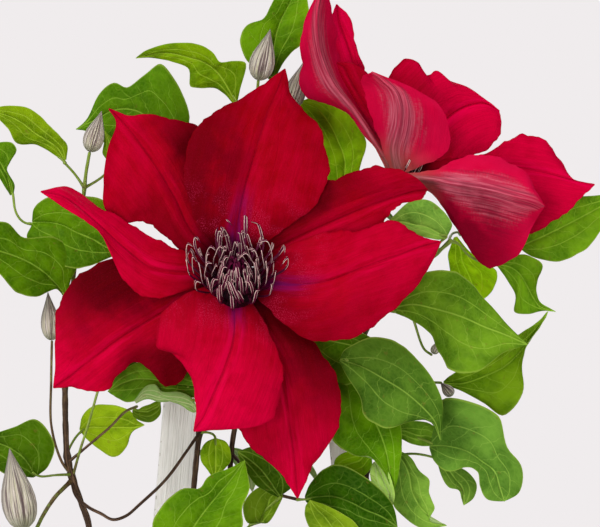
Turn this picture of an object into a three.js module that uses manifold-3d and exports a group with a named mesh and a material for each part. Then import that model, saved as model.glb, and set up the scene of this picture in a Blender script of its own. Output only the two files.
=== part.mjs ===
// A clematis with two large crimson blooms, climbing a small white wooden trellis in a round pot.
// Millimetres, +Z up. The origin is the middle of the pot's base, and the plant's front faces -Y.
import * as THREE from 'three';
import { mergeVertices } from 'three/addons/utils/BufferGeometryUtils.js';
import Module from 'manifold-3d';

const wasm = await Module();
wasm.setup();

// ---- driving dimensions ----
const POT = { height: 150, topRadius: 95, baseRadius: 70, wall: 5, floor: 6, rimHeight: 22, rimOut: 4 };
const SEAT = 0.3; // the gap that neighbouring pieces keep
const SOIL = { top: 137, mound: 3, lumps: 0.9, legFoot: 77, stemFoot: 112 };
const LATH = { width: 15, depth: 8, foot: 78, top: 350, lean: 5, levelZ: 265, back: 22 };
const UPRIGHT_X = { left: -30, right: 40 }; // the uprights' middles at LATH.levelZ
const RUNG = { height: 12, depth: 5, overhang: 6, levels: [165, 220, 300, 336] };
const BLADE = { leaf: 0.7, tepal: 0.8, tip: 0.9, root: 1.6 }; // thicknesses, and widths at tip and root

const COLOUR = {
  terracotta: 0xa8583a, soil: 0x3a2b20, lath: 0xebebe6, bark: 0x4a3222,
  leaf: 0x4f8a1e, tepal: 0xb4001e, stamen: 0x5a1838, bud: 0xa3a58e,
};

// ---- small helpers ----
const V = (x, y, z) => new THREE.Vector3(x, y, z);
const UP = V(0, 0, 1);
const VIEW = V(0, -1, 0); // out of the plant's front

// A closed mesh as a solid that can be joined and cut.
function toSolid(geometry) {
  const plain = geometry.clone();
  plain.deleteAttribute('normal');
  plain.deleteAttribute('uv');
  const merged = mergeVertices(plain, 1e-4);
  return new wasm.Manifold(new wasm.Mesh({
    numProp: 3,
    vertProperties: new Float32Array(merged.attributes.position.array),
    triVerts: new Uint32Array(merged.index.array),
  }));
}

function toGeometry(solid) {
  const { vertProperties, triVerts, numProp } = solid.getMesh();
  const corners = new Float32Array(triVerts.length * 3);
  triVerts.forEach((vertex, i) => {
    for (let k = 0; k < 3; k += 1) corners[3 * i + k] = vertProperties[vertex * numProp + k];
  });
  const geometry = new THREE.BufferGeometry();
  geometry.setAttribute('position', new THREE.BufferAttribute(corners, 3));
  geometry.computeVertexNormals();
  return geometry;
}

const join = (solids) => solids.reduce((sum, solid) => sum.add(solid));
const cut = (solid, tools) => tools.reduce((rest, tool) => rest.subtract(tool), solid);

// A smooth curve whose even shares fall on its own points.
class Trail extends THREE.CatmullRomCurve3 {
  constructor(points) {
    super(points, false, 'centripetal');
  }

  getUtoTmapping(u) {
    return u;
  }
}

// A stem of `sides` flats along the smooth curve through the points.
function stem(points, radius, sides = 5) {
  const path = new Trail(points.map((p) => V(...p)));
  const section = new THREE.Shape();
  for (let i = 0; i < sides; i += 1) {
    const a = (2 * Math.PI * i) / sides;
    if (i === 0) section.moveTo(radius * Math.cos(a), radius * Math.sin(a));
    else section.lineTo(radius * Math.cos(a), radius * Math.sin(a));
  }
  section.closePath();
  const steps = points.length - 1;
  return toSolid(new THREE.ExtrudeGeometry(section, { steps, bevelEnabled: false, extrudePath: path }));
}

// Closes a grid of surface points into a plate: rows[i][j] are points, and every face is split alike on
// both
// sides, so that the two never cross.
function plate(rows, thickness) {
  const n = rows.length - 1;
  const m = rows[0].length - 1;
  const along = V(0, 0, 0);
  const across = V(0, 0, 0);
  const normals = rows.map((row, i) => row.map((p, j) => {
    along.subVectors(rows[Math.min(i + 1, n)][j], rows[Math.max(i - 1, 0)][j]);
    across.subVectors(row[Math.min(j + 1, m)], row[Math.max(j - 1, 0)]);
    return V(0, 0, 0).crossVectors(across, along).normalize();
  }));
  const positions = [];
  for (const side of [0.5, -0.5]) {
    rows.forEach((row, i) => row.forEach((p, j) => {
      positions.push(...p.clone().addScaledVector(normals[i][j], side * thickness));
    }));
  }
  const at = (i, j, under) => i * (m + 1) + j + (under ? (n + 1) * (m + 1) : 0);
  const index = [];
  for (let i = 0; i < n; i += 1) {
    for (let j = 0; j < m; j += 1) {
      index.push(at(i, j), at(i, j + 1), at(i + 1, j + 1), at(i, j), at(i + 1, j + 1), at(i + 1, j));
      index.push(at(i, j, 1), at(i + 1, j + 1, 1), at(i, j + 1, 1));
      index.push(at(i, j, 1), at(i + 1, j, 1), at(i + 1, j + 1, 1));
    }
  }
  const rim = [];
  for (let j = 0; j < m; j += 1) rim.push([0, j]);
  for (let i = 0; i < n; i += 1) rim.push([i, m]);
  for (let j = m; j > 0; j -= 1) rim.push([n, j]);
  for (let i = n; i > 0; i -= 1) rim.push([i, 0]);
  rim.forEach(([i, j], k) => {
    const [p, q] = rim[(k + 1) % rim.length];
    index.push(at(i, j), at(i, j, 1), at(p, q), at(p, q), at(i, j, 1), at(p, q, 1));
  });
  const geometry = new THREE.BufferGeometry();
  geometry.setAttribute('position', new THREE.Float32BufferAttribute(positions, 3));
  geometry.setIndex(index);
  return toSolid(geometry);
}

// ---- pot and soil ----
function makePot() {
  const slope = (POT.topRadius - POT.baseRadius) / POT.height;
  const outer = (z) => POT.baseRadius + slope * z;
  const inner = (z) => outer(z) - POT.wall;
  const rimZ = POT.height - POT.rimHeight;
  const profile = [
    [0, 0], [POT.baseRadius - 2, 0], [outer(2), 2], [outer(rimZ), rimZ],
      [outer(rimZ) + POT.rimOut, rimZ + 3],
    [outer(POT.height) + POT.rimOut, POT.height - 3], [outer(POT.height) + POT.rimOut - 3, POT.height],
    [inner(POT.height) + 1, POT.height], [inner(POT.height - 3), POT.height - 3],
    [inner(POT.floor), POT.floor], [0, POT.floor],
  ];
  const lathe = new THREE.LatheGeometry(profile.map(([r, z]) => new THREE.Vector2(r, z)), 28);
  return toSolid(lathe.rotateX(Math.PI / 2));
}

function makeSoil(holes) {
  const slope = (POT.topRadius - POT.baseRadius) / POT.height;
  const edge = (z) => POT.baseRadius + slope * z - POT.wall - SEAT - 0.3;
  const bottom = POT.floor + SEAT;
  const profile = [
    [0, bottom], [edge(bottom), bottom], [edge(SOIL.top - 4), SOIL.top - 4], [edge(SOIL.top) - 8, SOIL.top],
    [58, SOIL.top + 1], [28, SOIL.top + 2], [0, SOIL.top + SOIL.mound],
  ];
  const lathe = new THREE.LatheGeometry(profile.map(([r, z]) => new THREE.Vector2(r, z)), 24);
  const plug = lathe.rotateX(Math.PI / 2);
  const place = plug.attributes.position;
  for (let i = 0; i < place.count; i += 1) {
    const [x, y, z] = [place.getX(i), place.getY(i), place.getZ(i)];
    const middle = Math.hypot(x, y) < 1;
    const lump = SOIL.lumps * Math.sin(0.13 * x + 1) * Math.cos(0.17 * y);
    if (z > SOIL.top - 1 && !middle) place.setZ(i, z + lump);
  }
  return cut(toSolid(plug), holes);
}

// A plain round hole from just under a stem's foot up through the soil's surface.
function stemHole(x, y, radius) {
  const from = SOIL.stemFoot - SEAT;
  const depth = SOIL.top + 12 - from;
  const bore = new THREE.CylinderGeometry(radius, radius, depth, 8).rotateX(Math.PI / 2);
  return toSolid(bore.translate(x, y, from + depth / 2));
}

// ---- trellis ----
const lean = THREE.MathUtils.degToRad(LATH.lean);
const uprightX = (side, z) => {
  const inward = side === 'left' ? 1 : -1;
  return UPRIGHT_X[side] + inward * Math.tan(lean) * (z - LATH.levelZ);
};

// A sawn lath: chamfered long edges and a shallow groove down its face.
function lathSection(width, depth) {
  const [w, d, c] = [width / 2, depth / 2, 0.8];
  const outline = [
    [-w + c, -d], [-1.6, -d], [-0.9, -d + 0.5], [-0.2, -d], [w - c, -d], [w, -d + c], [w, d - c],
      [w - c, d],
    [-w + c, d], [-w, d - c], [-w, -d + c],
  ];
  return new THREE.Shape(outline.map(([x, y]) => new THREE.Vector2(x, y)));
}

function makeUpright(side) {
  const length = (LATH.top - LATH.foot) / Math.cos(lean);
  const lath = new THREE.ExtrudeGeometry(lathSection(LATH.width, LATH.depth), { depth: length,
    bevelEnabled: false });
  const turn = side === 'left' ? lean : -lean;
  lath.rotateY(turn).translate(uprightX(side, LATH.foot), LATH.back - LATH.depth / 2, LATH.foot);
  return toSolid(lath);
}

function makeRung(z) {
  const from = uprightX('left', z) - LATH.width / 2 - RUNG.overhang;
  const to = uprightX('right', z) + LATH.width / 2 + RUNG.overhang;
  const bar = new THREE.ExtrudeGeometry(lathSection(RUNG.height, RUNG.depth), { depth: to - from,
    bevelEnabled: false });
  bar.rotateZ(Math.PI).rotateY(Math.PI / 2).translate(from, LATH.back + SEAT + RUNG.depth / 2, z);
  return toSolid(bar);
}

// ---- stems ----
// Each vine is a brown lower length, a thinner upper length and its side stems, all grown together.
const VINES = {
  left: {
    woody: {
      radius: 1.4,
      points: [[-48, -8, 112], [-49, -8, 141], [-59, -12, 175], [-64, -12, 210], [-65, -12, 240],
        [-68, -12, 249],
        [-71.6, -12, 259], [-73.6, -11, 267], [-74.4, -9, 279], [-74.8, -5, 297]],
    },
    young: {
      radius: 1,
      points: [[-74.8, -5, 297], [-73.6, 0, 319], [-71.2, 3, 343], [-68.8, 4, 359], [-67.2, 3, 376]],
    },
    sides: {
      bud_1: { radius: 0.8, points: [[-67.2, 3, 376], [-66.4, 1, 382.5], [-65, -2, 390]] },
      high_leaf: { radius: 0.6, points: [[-67.2, 3, 376], [-71, 2, 381.5], [-75, 0, 386]] },
      small_leaf: { radius: 0.6, points: [[-67.2, 3, 376], [-62, 4, 379], [-58.5, 4, 382],
        [-57.3, 4, 385.5]] },
      loop: {
        radius: 0.75,
        points: [[-72, -12, 259], [-70, -15, 252], [-65, -17, 247.5], [-60, -18, 245], [-55.2, -19, 242.6],
          [-50, -19, 244], [-44, -18, 249], [-34, -15, 258.5], [-25.5, -10, 270], [-19, -3, 279.5]],
      },
      bud_4: {
        radius: 0.6,
        points: [[-71.8, -12, 260], [-76, -13, 266], [-80, -13, 280], [-80.2, -10, 298], [-80, -7, 314]],
      },
      bud_5: {
        radius: 0.9,
        points: [[-72, -12, 258], [-78, -22, 252], [-82.5, -36, 245], [-86, -48, 238], [-88.5, -53, 236],
          [-89.5, -54, 239.5]],
      },
      rising: { radius: 0.6, points: [[-71.6, -12, 259], [-68.8, -15, 269], [-65, -17, 281],
        [-61, -17, 295]] },
    },
  },
  middle: {
    woody: {
      radius: 1.3,
      points: [[-21, 2, 112], [-22, 2, 141], [-27, 4, 170], [-27, 7, 205], [-24.5, 8, 240], [-23, 8, 255],
        [-20.5, 8, 278], [-16, 6, 300], [-10, 3, 325]],
    },
    young: {
      radius: 1,
      points: [[-10, 3, 325], [-7, 2, 345], [-6, 2, 372], [-2, 3, 395], [1.5, 2, 409]],
    },
    sides: {
      bloom_1: { radius: 1.5, points: [[-10, 3, 325], [-8, -10, 334], [-6.5, -24, 340], [-6, -38.8, 342]] },
      bud_2: { radius: 0.7, points: [[1.5, 2, 409], [2.6, -4, 413.5], [3.2, -9, 419]] },
      bud_3: { radius: 0.7, points: [[-2, 3, 395], [6, 3, 400], [13, -2, 404], [16, -4, 407.5]] },
    },
  },
  inner: {
    woody: {
      radius: 1.2,
      points: [[7, -2, 112], [6, -1, 141], [-1, 3, 180], [-7, 7, 225], [-7.5, 8, 272], [0, 8, 300],
        [14, 7, 328]],
    },
    young: {
      radius: 1,
      points: [[14, 7, 328], [24, 6, 350], [27, 7, 366]],
    },
    sides: {
      bloom_2: {
        radius: 1.4,
        points: [[14, 7, 328], [30, -2, 342], [45, -12, 353], [52.5, -13.4, 366], [56.1, -12.9, 373.1]],
      },
      low_right: {
        radius: 0.8,
        points: [[-7.5, 8, 268], [-1, -2, 262], [5, -10, 257.5], [11, -14, 252.8], [19, -17, 250.6]],
      },
    },
  },
  right: {
    woody: {
      radius: 1.3,
      points: [[37, -4, 112], [38, -3, 141], [42, 2, 180], [46, 4, 215], [46.5, 4, 250], [47, 4, 275],
        [45, 3, 300]],
    },
    young: {
      radius: 1,
      points: [[45, 3, 300], [46, 0, 316], [52, -5, 326], [61, -10, 337], [71, -14, 346],
        [80.5, -17, 354.5]],
    },
    sides: {
      bud_7: { radius: 0.6, points: [[61, -10, 337], [66, -8, 322], [70, -6, 311], [73, -6, 308.6]] },
      bud_6: { radius: 0.6, points: [[47, 4, 275], [62, -2, 281], [74, -9, 289], [80.5, -12, 291]] },
    },
  },
};

const KNOT = 0.1; // how far the node between a vine's old and new wood swells

function makeVine({ woody, young, sides }) {
  const lengths = [woody, young, ...Object.values(sides)];
  const knot = new THREE.SphereGeometry(woody.radius + KNOT, 6, 4).translate(...woody.points.at(-1));
  return join([toSolid(knot), ...lengths.map(({ points, radius }) => stem(points, radius))]);
}

// ---- blades ----
// A blade from its rib and two edges, each a curve through matching stations. `out` is the side that the
// upper
// face looks to, and `camber` lifts each half between rib and edge by that share of its width.
function bladeRows({ rib, left, right, out, camber, rows, half }) {
  const curves = [left, rib, right].map((points) => new Trail(points));
  const result = [];
  for (let i = 0; i <= rows; i += 1) {
    const u = i / rows;
    const [l, r0, r] = curves.map((curve) => curve.getPoint(u));
    const row = [];
    for (let j = -half; j <= half; j += 1) {
      const v = Math.abs(j) / half;
      const edge = j < 0 ? l : r;
      const lift = camber * 4 * v * (1 - v) * 0.25 * edge.distanceTo(r0);
      row.push(r0.clone().lerp(edge, v).addScaledVector(out, lift));
    }
    result.push(row);
  }
  return result;
}

// ---- tepals ----
// Stations run from claw to tip. Each is [right, up, forward] from the bloom's receptacle.
const TEPALS_1 = {
  top: {
    rib: [[0.4, 4, -4], [1.2, 16, -1], [3.6, 32.8, 1], [7.6, 46.8, 1], [12.8, 62.8, -1], [17.2, 72, -4],
      [20.4, 81.2, -8]],
    left: [[-14, 17.6, 1], [-19.6, 36.8, 5], [-15.6, 56, 1], [-1.2, 67.6, -4], [10.4, 73.6, -6]],
    right: [[16.4, 14.4, -2], [32.4, 27.2, -1], [38.4, 42.8, -2], [29.6, 61.6, -6], [22.8, 70, -7]],
  },
  upper_left: {
    rib: [[-3.6, 4, -6], [-16.8, 16, -7], [-23.6, 30.4, -6], [-32, 43.2, -4], [-40, 53.6, -2],
      [-45.2, 60, -1],
      [-49.6, 64.8, 0]],
    left: [[-25.2, 12.8, -8], [-42.8, 18.8, -8], [-51.2, 32.8, -8], [-49.6, 48.8, -6], [-46.8, 58.8, -3]],
    right: [[-8, 18.8, -9], [-8, 42.8, -10], [-15.2, 57.6, -8], [-30, 62, -5], [-41.2, 61.6, -2]],
  },
  left: {
    rib: [[-4.4, 0.8, -3], [-18.8, 0, 0], [-33.2, 1.6, 2], [-44.4, 9.6, 3], [-55.6, 20.8, 4],
      [-67.6, 30, 4],
      [-76.8, 32.4, 2]],
    left: [[-19.6, -7.6, 2], [-34.8, -10, 6], [-44, -2.8, 8], [-54.4, 16.4, 8], [-66.8, 24.8, 7]],
    right: [[-19.6, 4, -2], [-31.6, 10.8, -3], [-43.6, 18.8, -4], [-55.6, 25.6, -4], [-66.8, 34, -1]],
  },
  lower_left: {
    rib: [[-3.6, -4, -6], [-18, -10.4, -7], [-32, -17.6, -7], [-45.2, -26.4, -5], [-57.2, -35.2, -3],
      [-66, -42, 0],
      [-72.4, -46.4, 2]],
    left: [[-14, -31.2, -8], [-26, -45.6, -12], [-40.4, -36, -9], [-52.4, -47.2, -3], [-65.2, -45.6, 0]],
    right: [[-22, 0, -9], [-45.2, 5.6, -9], [-63.6, -3.2, -8], [-70.8, -16, -6], [-70.8, -32, -2]],
  },
  bottom: {
    rib: [[-0.4, -4.8, -2], [0.4, -14.4, 3], [-0.4, -25.2, 8], [-3.2, -36, 12], [-7.6, -48, 15],
      [-12.4, -57.2, 16],
      [-16.4, -63.6, 16]],
    left: [[10.8, -17.6, 0], [17.2, -32, 4], [18.8, -44.8, 8], [14, -59.2, 12], [-1.2, -63.2, 15]],
    right: [[-14, -6.4, 4], [-29.2, -18.4, 6], [-28.4, -32.8, 8], [-18.4, -42.4, 12], [-15.2, -54.4, 15]],
  },
  lower_right: {
    rib: [[2, -5.6, -6], [8.4, -18.4, -7], [15.6, -34.4, -7], [19.6, -49.2, -6], [22, -63.2, -4],
      [24, -77.2, -2],
      [24.8, -90, 0]],
    left: [[20, -18.4, -8], [33.2, -30.4, -9], [42, -46.4, -9], [40.4, -64, -6], [30.8, -78.4, -3]],
    right: [[0, -19.2, -7], [-1.2, -39.2, -8], [0.4, -57.2, -7], [6.8, -69.6, -5], [18.4, -80, -2]],
  },
  upper_right: {
    rib: [[4.4, 4, -6], [18.8, 11.2, -7], [34, 17.6, -7], [48, 24, -7], [61.2, 29.2, -8], [70.8, 32, -11],
      [77.2, 32.8, -15]],
    left: [[14, 20, -8], [26, 30.8, -6], [39.6, 36.8, -4], [56.4, 41.6, -2], [70, 39.2, -6]],
    right: [[22, 4, -8], [40, 8.8, -8], [56, 16, -8], [67.6, 24, -9], [74.4, 29.2, -12]],
  },
  right: {
    rib: [[4.4, -2.4, -3], [20, -5.2, 0], [34.8, -3.6, 2], [49.2, 0.8, 3], [63.2, 6, 2], [74, 9.6, 0],
      [82.4, 11.6, -2]],
    left: [[22, 10.8, 0], [38, 16, 0], [52, 18.8, -1], [65.2, 20.4, -2], [74.8, 14.4, -2]],
    right: [[14, -13.2, 0], [30, -27.2, -3], [46.8, -26.4, 2], [64, -14.4, 3], [75.6, -1.2, 0]],
  },
};

const TEPALS_2 = {
  tall: {
    rib: [[-3.4, 1.4, 2.6], [-8.8, 10.4, 6], [-18.4, 23.6, 10], [-27.6, 36.8, 12], [-32.8, 50.4, 13],
      [-33.6, 64.8, 12], [-31.2, 78.4, 10]],
    left: [[-6.4, 11.2, 2], [-14.4, 23.2, -2], [-22.8, 37.6, -6], [-26.4, 51.6, -6], [-28, 66.4, 0]],
    right: [[-12, 12.8, 3], [-22.4, 23.6, 4], [-38.8, 32.8, 2], [-40.8, 45.6, 3], [-38, 63.6, 8]],
  },
  back_left: {
    rib: [[-3.2, 1.2, -2.4], [-7.2, 15.6, -7], [-12.8, 29.6, -11], [-18.4, 42.4, -14], [-22.4, 53.6, -15],
      [-24.8, 62.4, -15], [-26, 68.8, -14]],
    left: [[-10.4, 13.6, -5], [-20, 27.6, -10], [-28, 40.8, -12], [-30.8, 51.6, -12], [-28.8, 61.6, -13]],
    right: [[-4, 17.6, -6], [-7.2, 30.4, -12], [-13.6, 40.8, -14], [-18, 52.8, -15], [-21.2, 63.6, -15]],
  },
  inner_left: {
    rib: [[-3.6, 1.2, 0], [-5.6, 12.8, -2], [-11.2, 23.2, -3], [-16.8, 32.4, -4], [-20.8, 39.2, -4],
      [-23.2, 42.8, -3], [-25.6, 45.2, -2]],
    left: [[-8.8, 11.6, 0], [-16.8, 22.4, -3], [-24.4, 32.4, -6], [-29.2, 40, -6], [-28.4, 43.2, -4]],
    right: [[-3.2, 14.4, -3], [-6.4, 24.8, -5], [-10.4, 34.4, -6], [-14.4, 40.8, -6], [-19.2, 44.8, -4]],
  },
  front: {
    rib: [[-1, 0, 3.7], [-3.2, 9.6, 9], [-0.8, 19.6, 14], [-0.8, 27.2, 16], [-3.2, 32.8, 16],
      [-7.2, 37.2, 15],
      [-11.6, 40.8, 13]],
    left: [[7.2, 3, 3.6], [18.8, 9.6, 3], [17.2, 24.8, 6], [9.2, 32, 9], [-2.4, 36.8, 12]],
    right: [[-8, 9.6, 5], [-11.2, 21.2, 6], [-13.6, 29.6, 5], [-16, 35.6, 4], [-16, 39.2, 7]],
  },
  back_right: {
    rib: [[0.4, -0.6, -3.7], [7.2, 9.6, -8], [13.6, 17.6, -13], [20, 24, -17], [27.2, 28, -19],
      [34.4, 28.8, -20],
      [40, 26.4, -20]],
    left: [[0, 13.6, -6], [-4.8, 31.6, -12], [-1.6, 44.8, -16], [12, 43.2, -19], [26.4, 34, -20]],
    right: [[10.4, 4.8, -6], [20, 5.6, -10], [30.4, 8, -13], [37.6, 13.2, -16], [40.8, 20, -18]],
  },
  low_right: {
    rib: [[1.6, -1.6, 3.6], [11.2, -2, 8], [22.4, -3.6, 14], [34.4, -6, 18], [44.8, -8.8, 20],
      [52, -11.2, 20],
      [57.2, -13.2, 18]],
    left: [[11.2, -6.4, 4], [22.4, -21.6, 2], [33.6, -37.2, -2], [45.6, -32.8, 4], [52.8, -20, 12]],
    right: [[10.4, 1.4, 5.4], [21.6, 6.4, 8], [35.2, 7.2, 10], [48, 1.6, 13], [54.4, -6.4, 17]],
  },
  far_right: {
    rib: [[2.6, -1.8, -3], [15.2, 2.4, -7], [31.2, 3.2, -9], [45.2, 2.8, -9], [58.4, 0.8, -8],
      [69.2, -2.4, -7],
      [78, -4, -6]],
    left: [[15.2, 7.6, -9], [33.2, 7.6, -13], [47.2, 16.4, -15], [60, 12.4, -13], [70, -0.4, -8]],
    right: [[15.2, -3.2, -8], [31.2, -10.4, -8], [49.2, -24.4, -4], [63.2, -18, -4], [72.8, -8.8, -5]],
  },
};

const CLAW = 2.2; // half the width of a tepal where it leaves the receptacle
const RECEPTACLE = 8.6; // how deep the receptacle is

function makeTepal(shape, centre) {
  const place = ([x, up, forward]) => V(centre.x + x, centre.y - forward, centre.z + up);
  const rib = shape.rib.map(place);
  const out = VIEW;
  const sideOf = (edge, sign) => {
    const claw = rib[1].clone().sub(rib[0]).cross(out).normalize();
    const nib = rib.at(-1).clone().sub(rib.at(-2)).cross(out).normalize();
    return [
      rib[0].clone().addScaledVector(claw, sign * CLAW), ...edge.map(place),
      rib.at(-1).clone().addScaledVector(nib, sign * BLADE.tip / 2),
    ];
  };
  const faces = facesView(shape) ? 1 : -1;
  const rows = bladeRows({
    rib, left: sideOf(shape.left, -faces), right: sideOf(shape.right, faces), out, camber: 0.35 * faces,
    rows: 6, half: 2,
  });
  return plate(rows, BLADE.tepal);
}

// True where a tepal shows its inner face to the front: its left edge is then counter-clockwise of its
// right.
function facesView({ rib, left, right }) {
  const along = [rib[3][0] - rib[0][0], rib[3][1] - rib[0][1]];
  const across = [right[2][0] - left[2][0], right[2][1] - left[2][1]];
  return along[0] * across[1] - along[1] * across[0] < 0;
}

function makeBloom({ tepals, centre, axis, base }) {
  const receptacle = new THREE.CylinderGeometry(base, base - 0.4, RECEPTACLE, 8).rotateX(Math.PI / 2);
  receptacle.applyQuaternion(new THREE.Quaternion().setFromUnitVectors(UP, axis));
  receptacle.translate(...centre.clone().addScaledVector(axis, -RECEPTACLE / 2 - SEAT));
  return join([toSolid(receptacle), ...Object.values(tepals).map((shape) => makeTepal(shape, centre))]);
}

// Each bloom: its tepals, the front of its receptacle and the way it looks, its receptacle's radius, and
// the
// size of its heart of stamens and how many rings of them it has.
const BLOOMS = [
  { tepals: TEPALS_1, centre: V(-6, -48, 342), axis: VIEW, base: 7.4, size: 1, rings: 3 },
  { tepals: TEPALS_2, centre: V(60.8, -12, 381.2), axis: V(0.5, -0.06, 0.86).normalize(), base: 4.4,
    size: 0.34,
    rings: 1 },
];

// Stamens: a domed heart, and rings of threads that spread from its foot and hook inwards at their tips.
// Each
// ring is its count, its reach and its height.
const STAMENS = {
  rings: [[7, 8.5, 13], [7, 13.5, 11.5], [6, 18, 9.5]], dome: [6.2, 6.2, 9], hook: 3, width: 1.5,
};

function makeStamens({ centre, axis, size, rings }) {
  const heart = new THREE.SphereGeometry(1, 8, 6).rotateX(Math.PI / 2).scale(...STAMENS.dome).translate(0,
    0, 2);
  const foot = new THREE.BoxGeometry(60, 60, 20).translate(0, 0, -10);
  const threads = [];
  STAMENS.rings.slice(0, rings).forEach(([count, reach, height], ring) => {
    for (let i = 0; i < count; i += 1) {
      const a = (2 * Math.PI * (i + 0.5 * ring)) / count;
      const at = (radius, z) => [radius * Math.cos(a), radius * Math.sin(a), z];
      const hook = at(reach - STAMENS.hook, height + 0.6 * STAMENS.hook);
      threads.push(stem([at(2.5, 1.5), at(reach, height), hook], STAMENS.width / 2, 3));
    }
  });
  const cluster = cut(join([toSolid(heart), ...threads]), [toSolid(foot)]);
  const place = new THREE.Matrix4().compose(
    centre.clone().addScaledVector(axis, SEAT), new THREE.Quaternion().setFromUnitVectors(UP, axis),
    V(size, size, size),
  );
  return toSolid(toGeometry(cluster).applyMatrix4(place));
}

// ---- buds ----
// Pointed and egg-shaped, with four seams. base, tip and the widest diameter.
const BUDS = {
  bud_1: { base: [-64.8, -2, 390.6], tip: [-60, -4, 407], width: 8.2, stalk: ['left', 'bud_1'] },
  bud_2: { base: [3.2, -9.5, 419.4], tip: [8, -13, 439.6], width: 10, stalk: ['middle', 'bud_2'] },
  bud_3: { base: [16.3, -4, 408.2], tip: [21.5, -4, 426.8], width: 8.6, stalk: ['middle', 'bud_3'] },
  bud_4: { base: [-80, -6.8, 314.6], tip: [-81.6, -8, 334], width: 7.6, stalk: ['left', 'bud_4'] },
  bud_5: { base: [-89.6, -54.2, 240.2], tip: [-95.2, -56, 272], width: 13.6, stalk: ['left', 'bud_5'] },
  bud_6: { base: [81.3, -13.4, 292.4], tip: [76.4, -15, 297.6], width: 4.6, stalk: ['right', 'bud_6'] },
  bud_7: { base: [73.6, -6, 309], tip: [76.6, -6, 314.6], width: 3.6, stalk: ['right', 'bud_7'] },
};

function makeBud({ base, tip, width }) {
  const [from, to] = [V(...base), V(...tip)];
  const length = from.distanceTo(to);
  const outline = [[0, 0], [0.3, 0], [0.8, 0.11], [1, 0.27], [0.84, 0.5], [0.44, 0.78], [0, 1]];
  const lathe = new THREE.LatheGeometry(outline.map(([r, z]) => new THREE.Vector2(r * width / 2,
    z * length)), 7);
  const aim = new THREE.Quaternion().setFromUnitVectors(V(0, 1, 0), to.clone().sub(from).normalize());
  return toSolid(lathe.applyQuaternion(aim).translate(...from));
}

// ---- leaves ----
// A leaf's rib is a curve from base over mid to tip. left and right are its half widths, seen from its
// upper
// face with the tip up, at the SHARES of its length. rise is how far each edge stands towards `face` for
// each
// millimetre of half width.
const SHARES = [0.1, 0.32, 0.57, 0.8];
const PLAIN = [0.72, 1, 0.8, 0.42]; // the ovate outline of a plain leaflet, in shares of its widest half

function leafBlade({ base, mid, tip, left, right, rise = [0.15, 0.15], face = VIEW, wave = 0, half = 2,
  rows = 5 }) {
  const [b, m, t] = [base, mid, tip].map((p) => V(...p));
  const handle = m.clone().multiplyScalar(2).addScaledVector(b, -0.5).addScaledVector(t, -0.5);
  const spine = new THREE.QuadraticBezierCurve3(b, handle, t);
  const stations = [0, ...SHARES, 1];
  const rib = stations.map((u) => spine.getPoint(u));
  const edge = (widths, sign, lift) => stations.map((u, i) => {
    const side = spine.getTangent(u).cross(face).normalize();
    const width = i === 0 ? BLADE.root / 2 : widths[i - 1] ?? BLADE.tip / 2;
    const ripple = wave * Math.sin(7 * u + 2 * sign) * (i > 0 && i < stations.length - 1);
    return rib[i].clone().addScaledVector(side, sign * width).addScaledVector(face, lift * width + ripple);
  });
  const grid = bladeRows({
    rib, left: edge(left, -1, rise[0]), right: edge(right, 1, rise[1]), out: face, camber: 0.25, rows, half,
  });
  return plate(grid, BLADE.leaf);
}

const PETIOLE = 0.65;
const SMALL = { half: 1, rows: 4 }; // the coarser grid of a small leaflet
const petiole = (points) => stem(points, PETIOLE, points.length > 2 ? 4 : 3);

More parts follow.
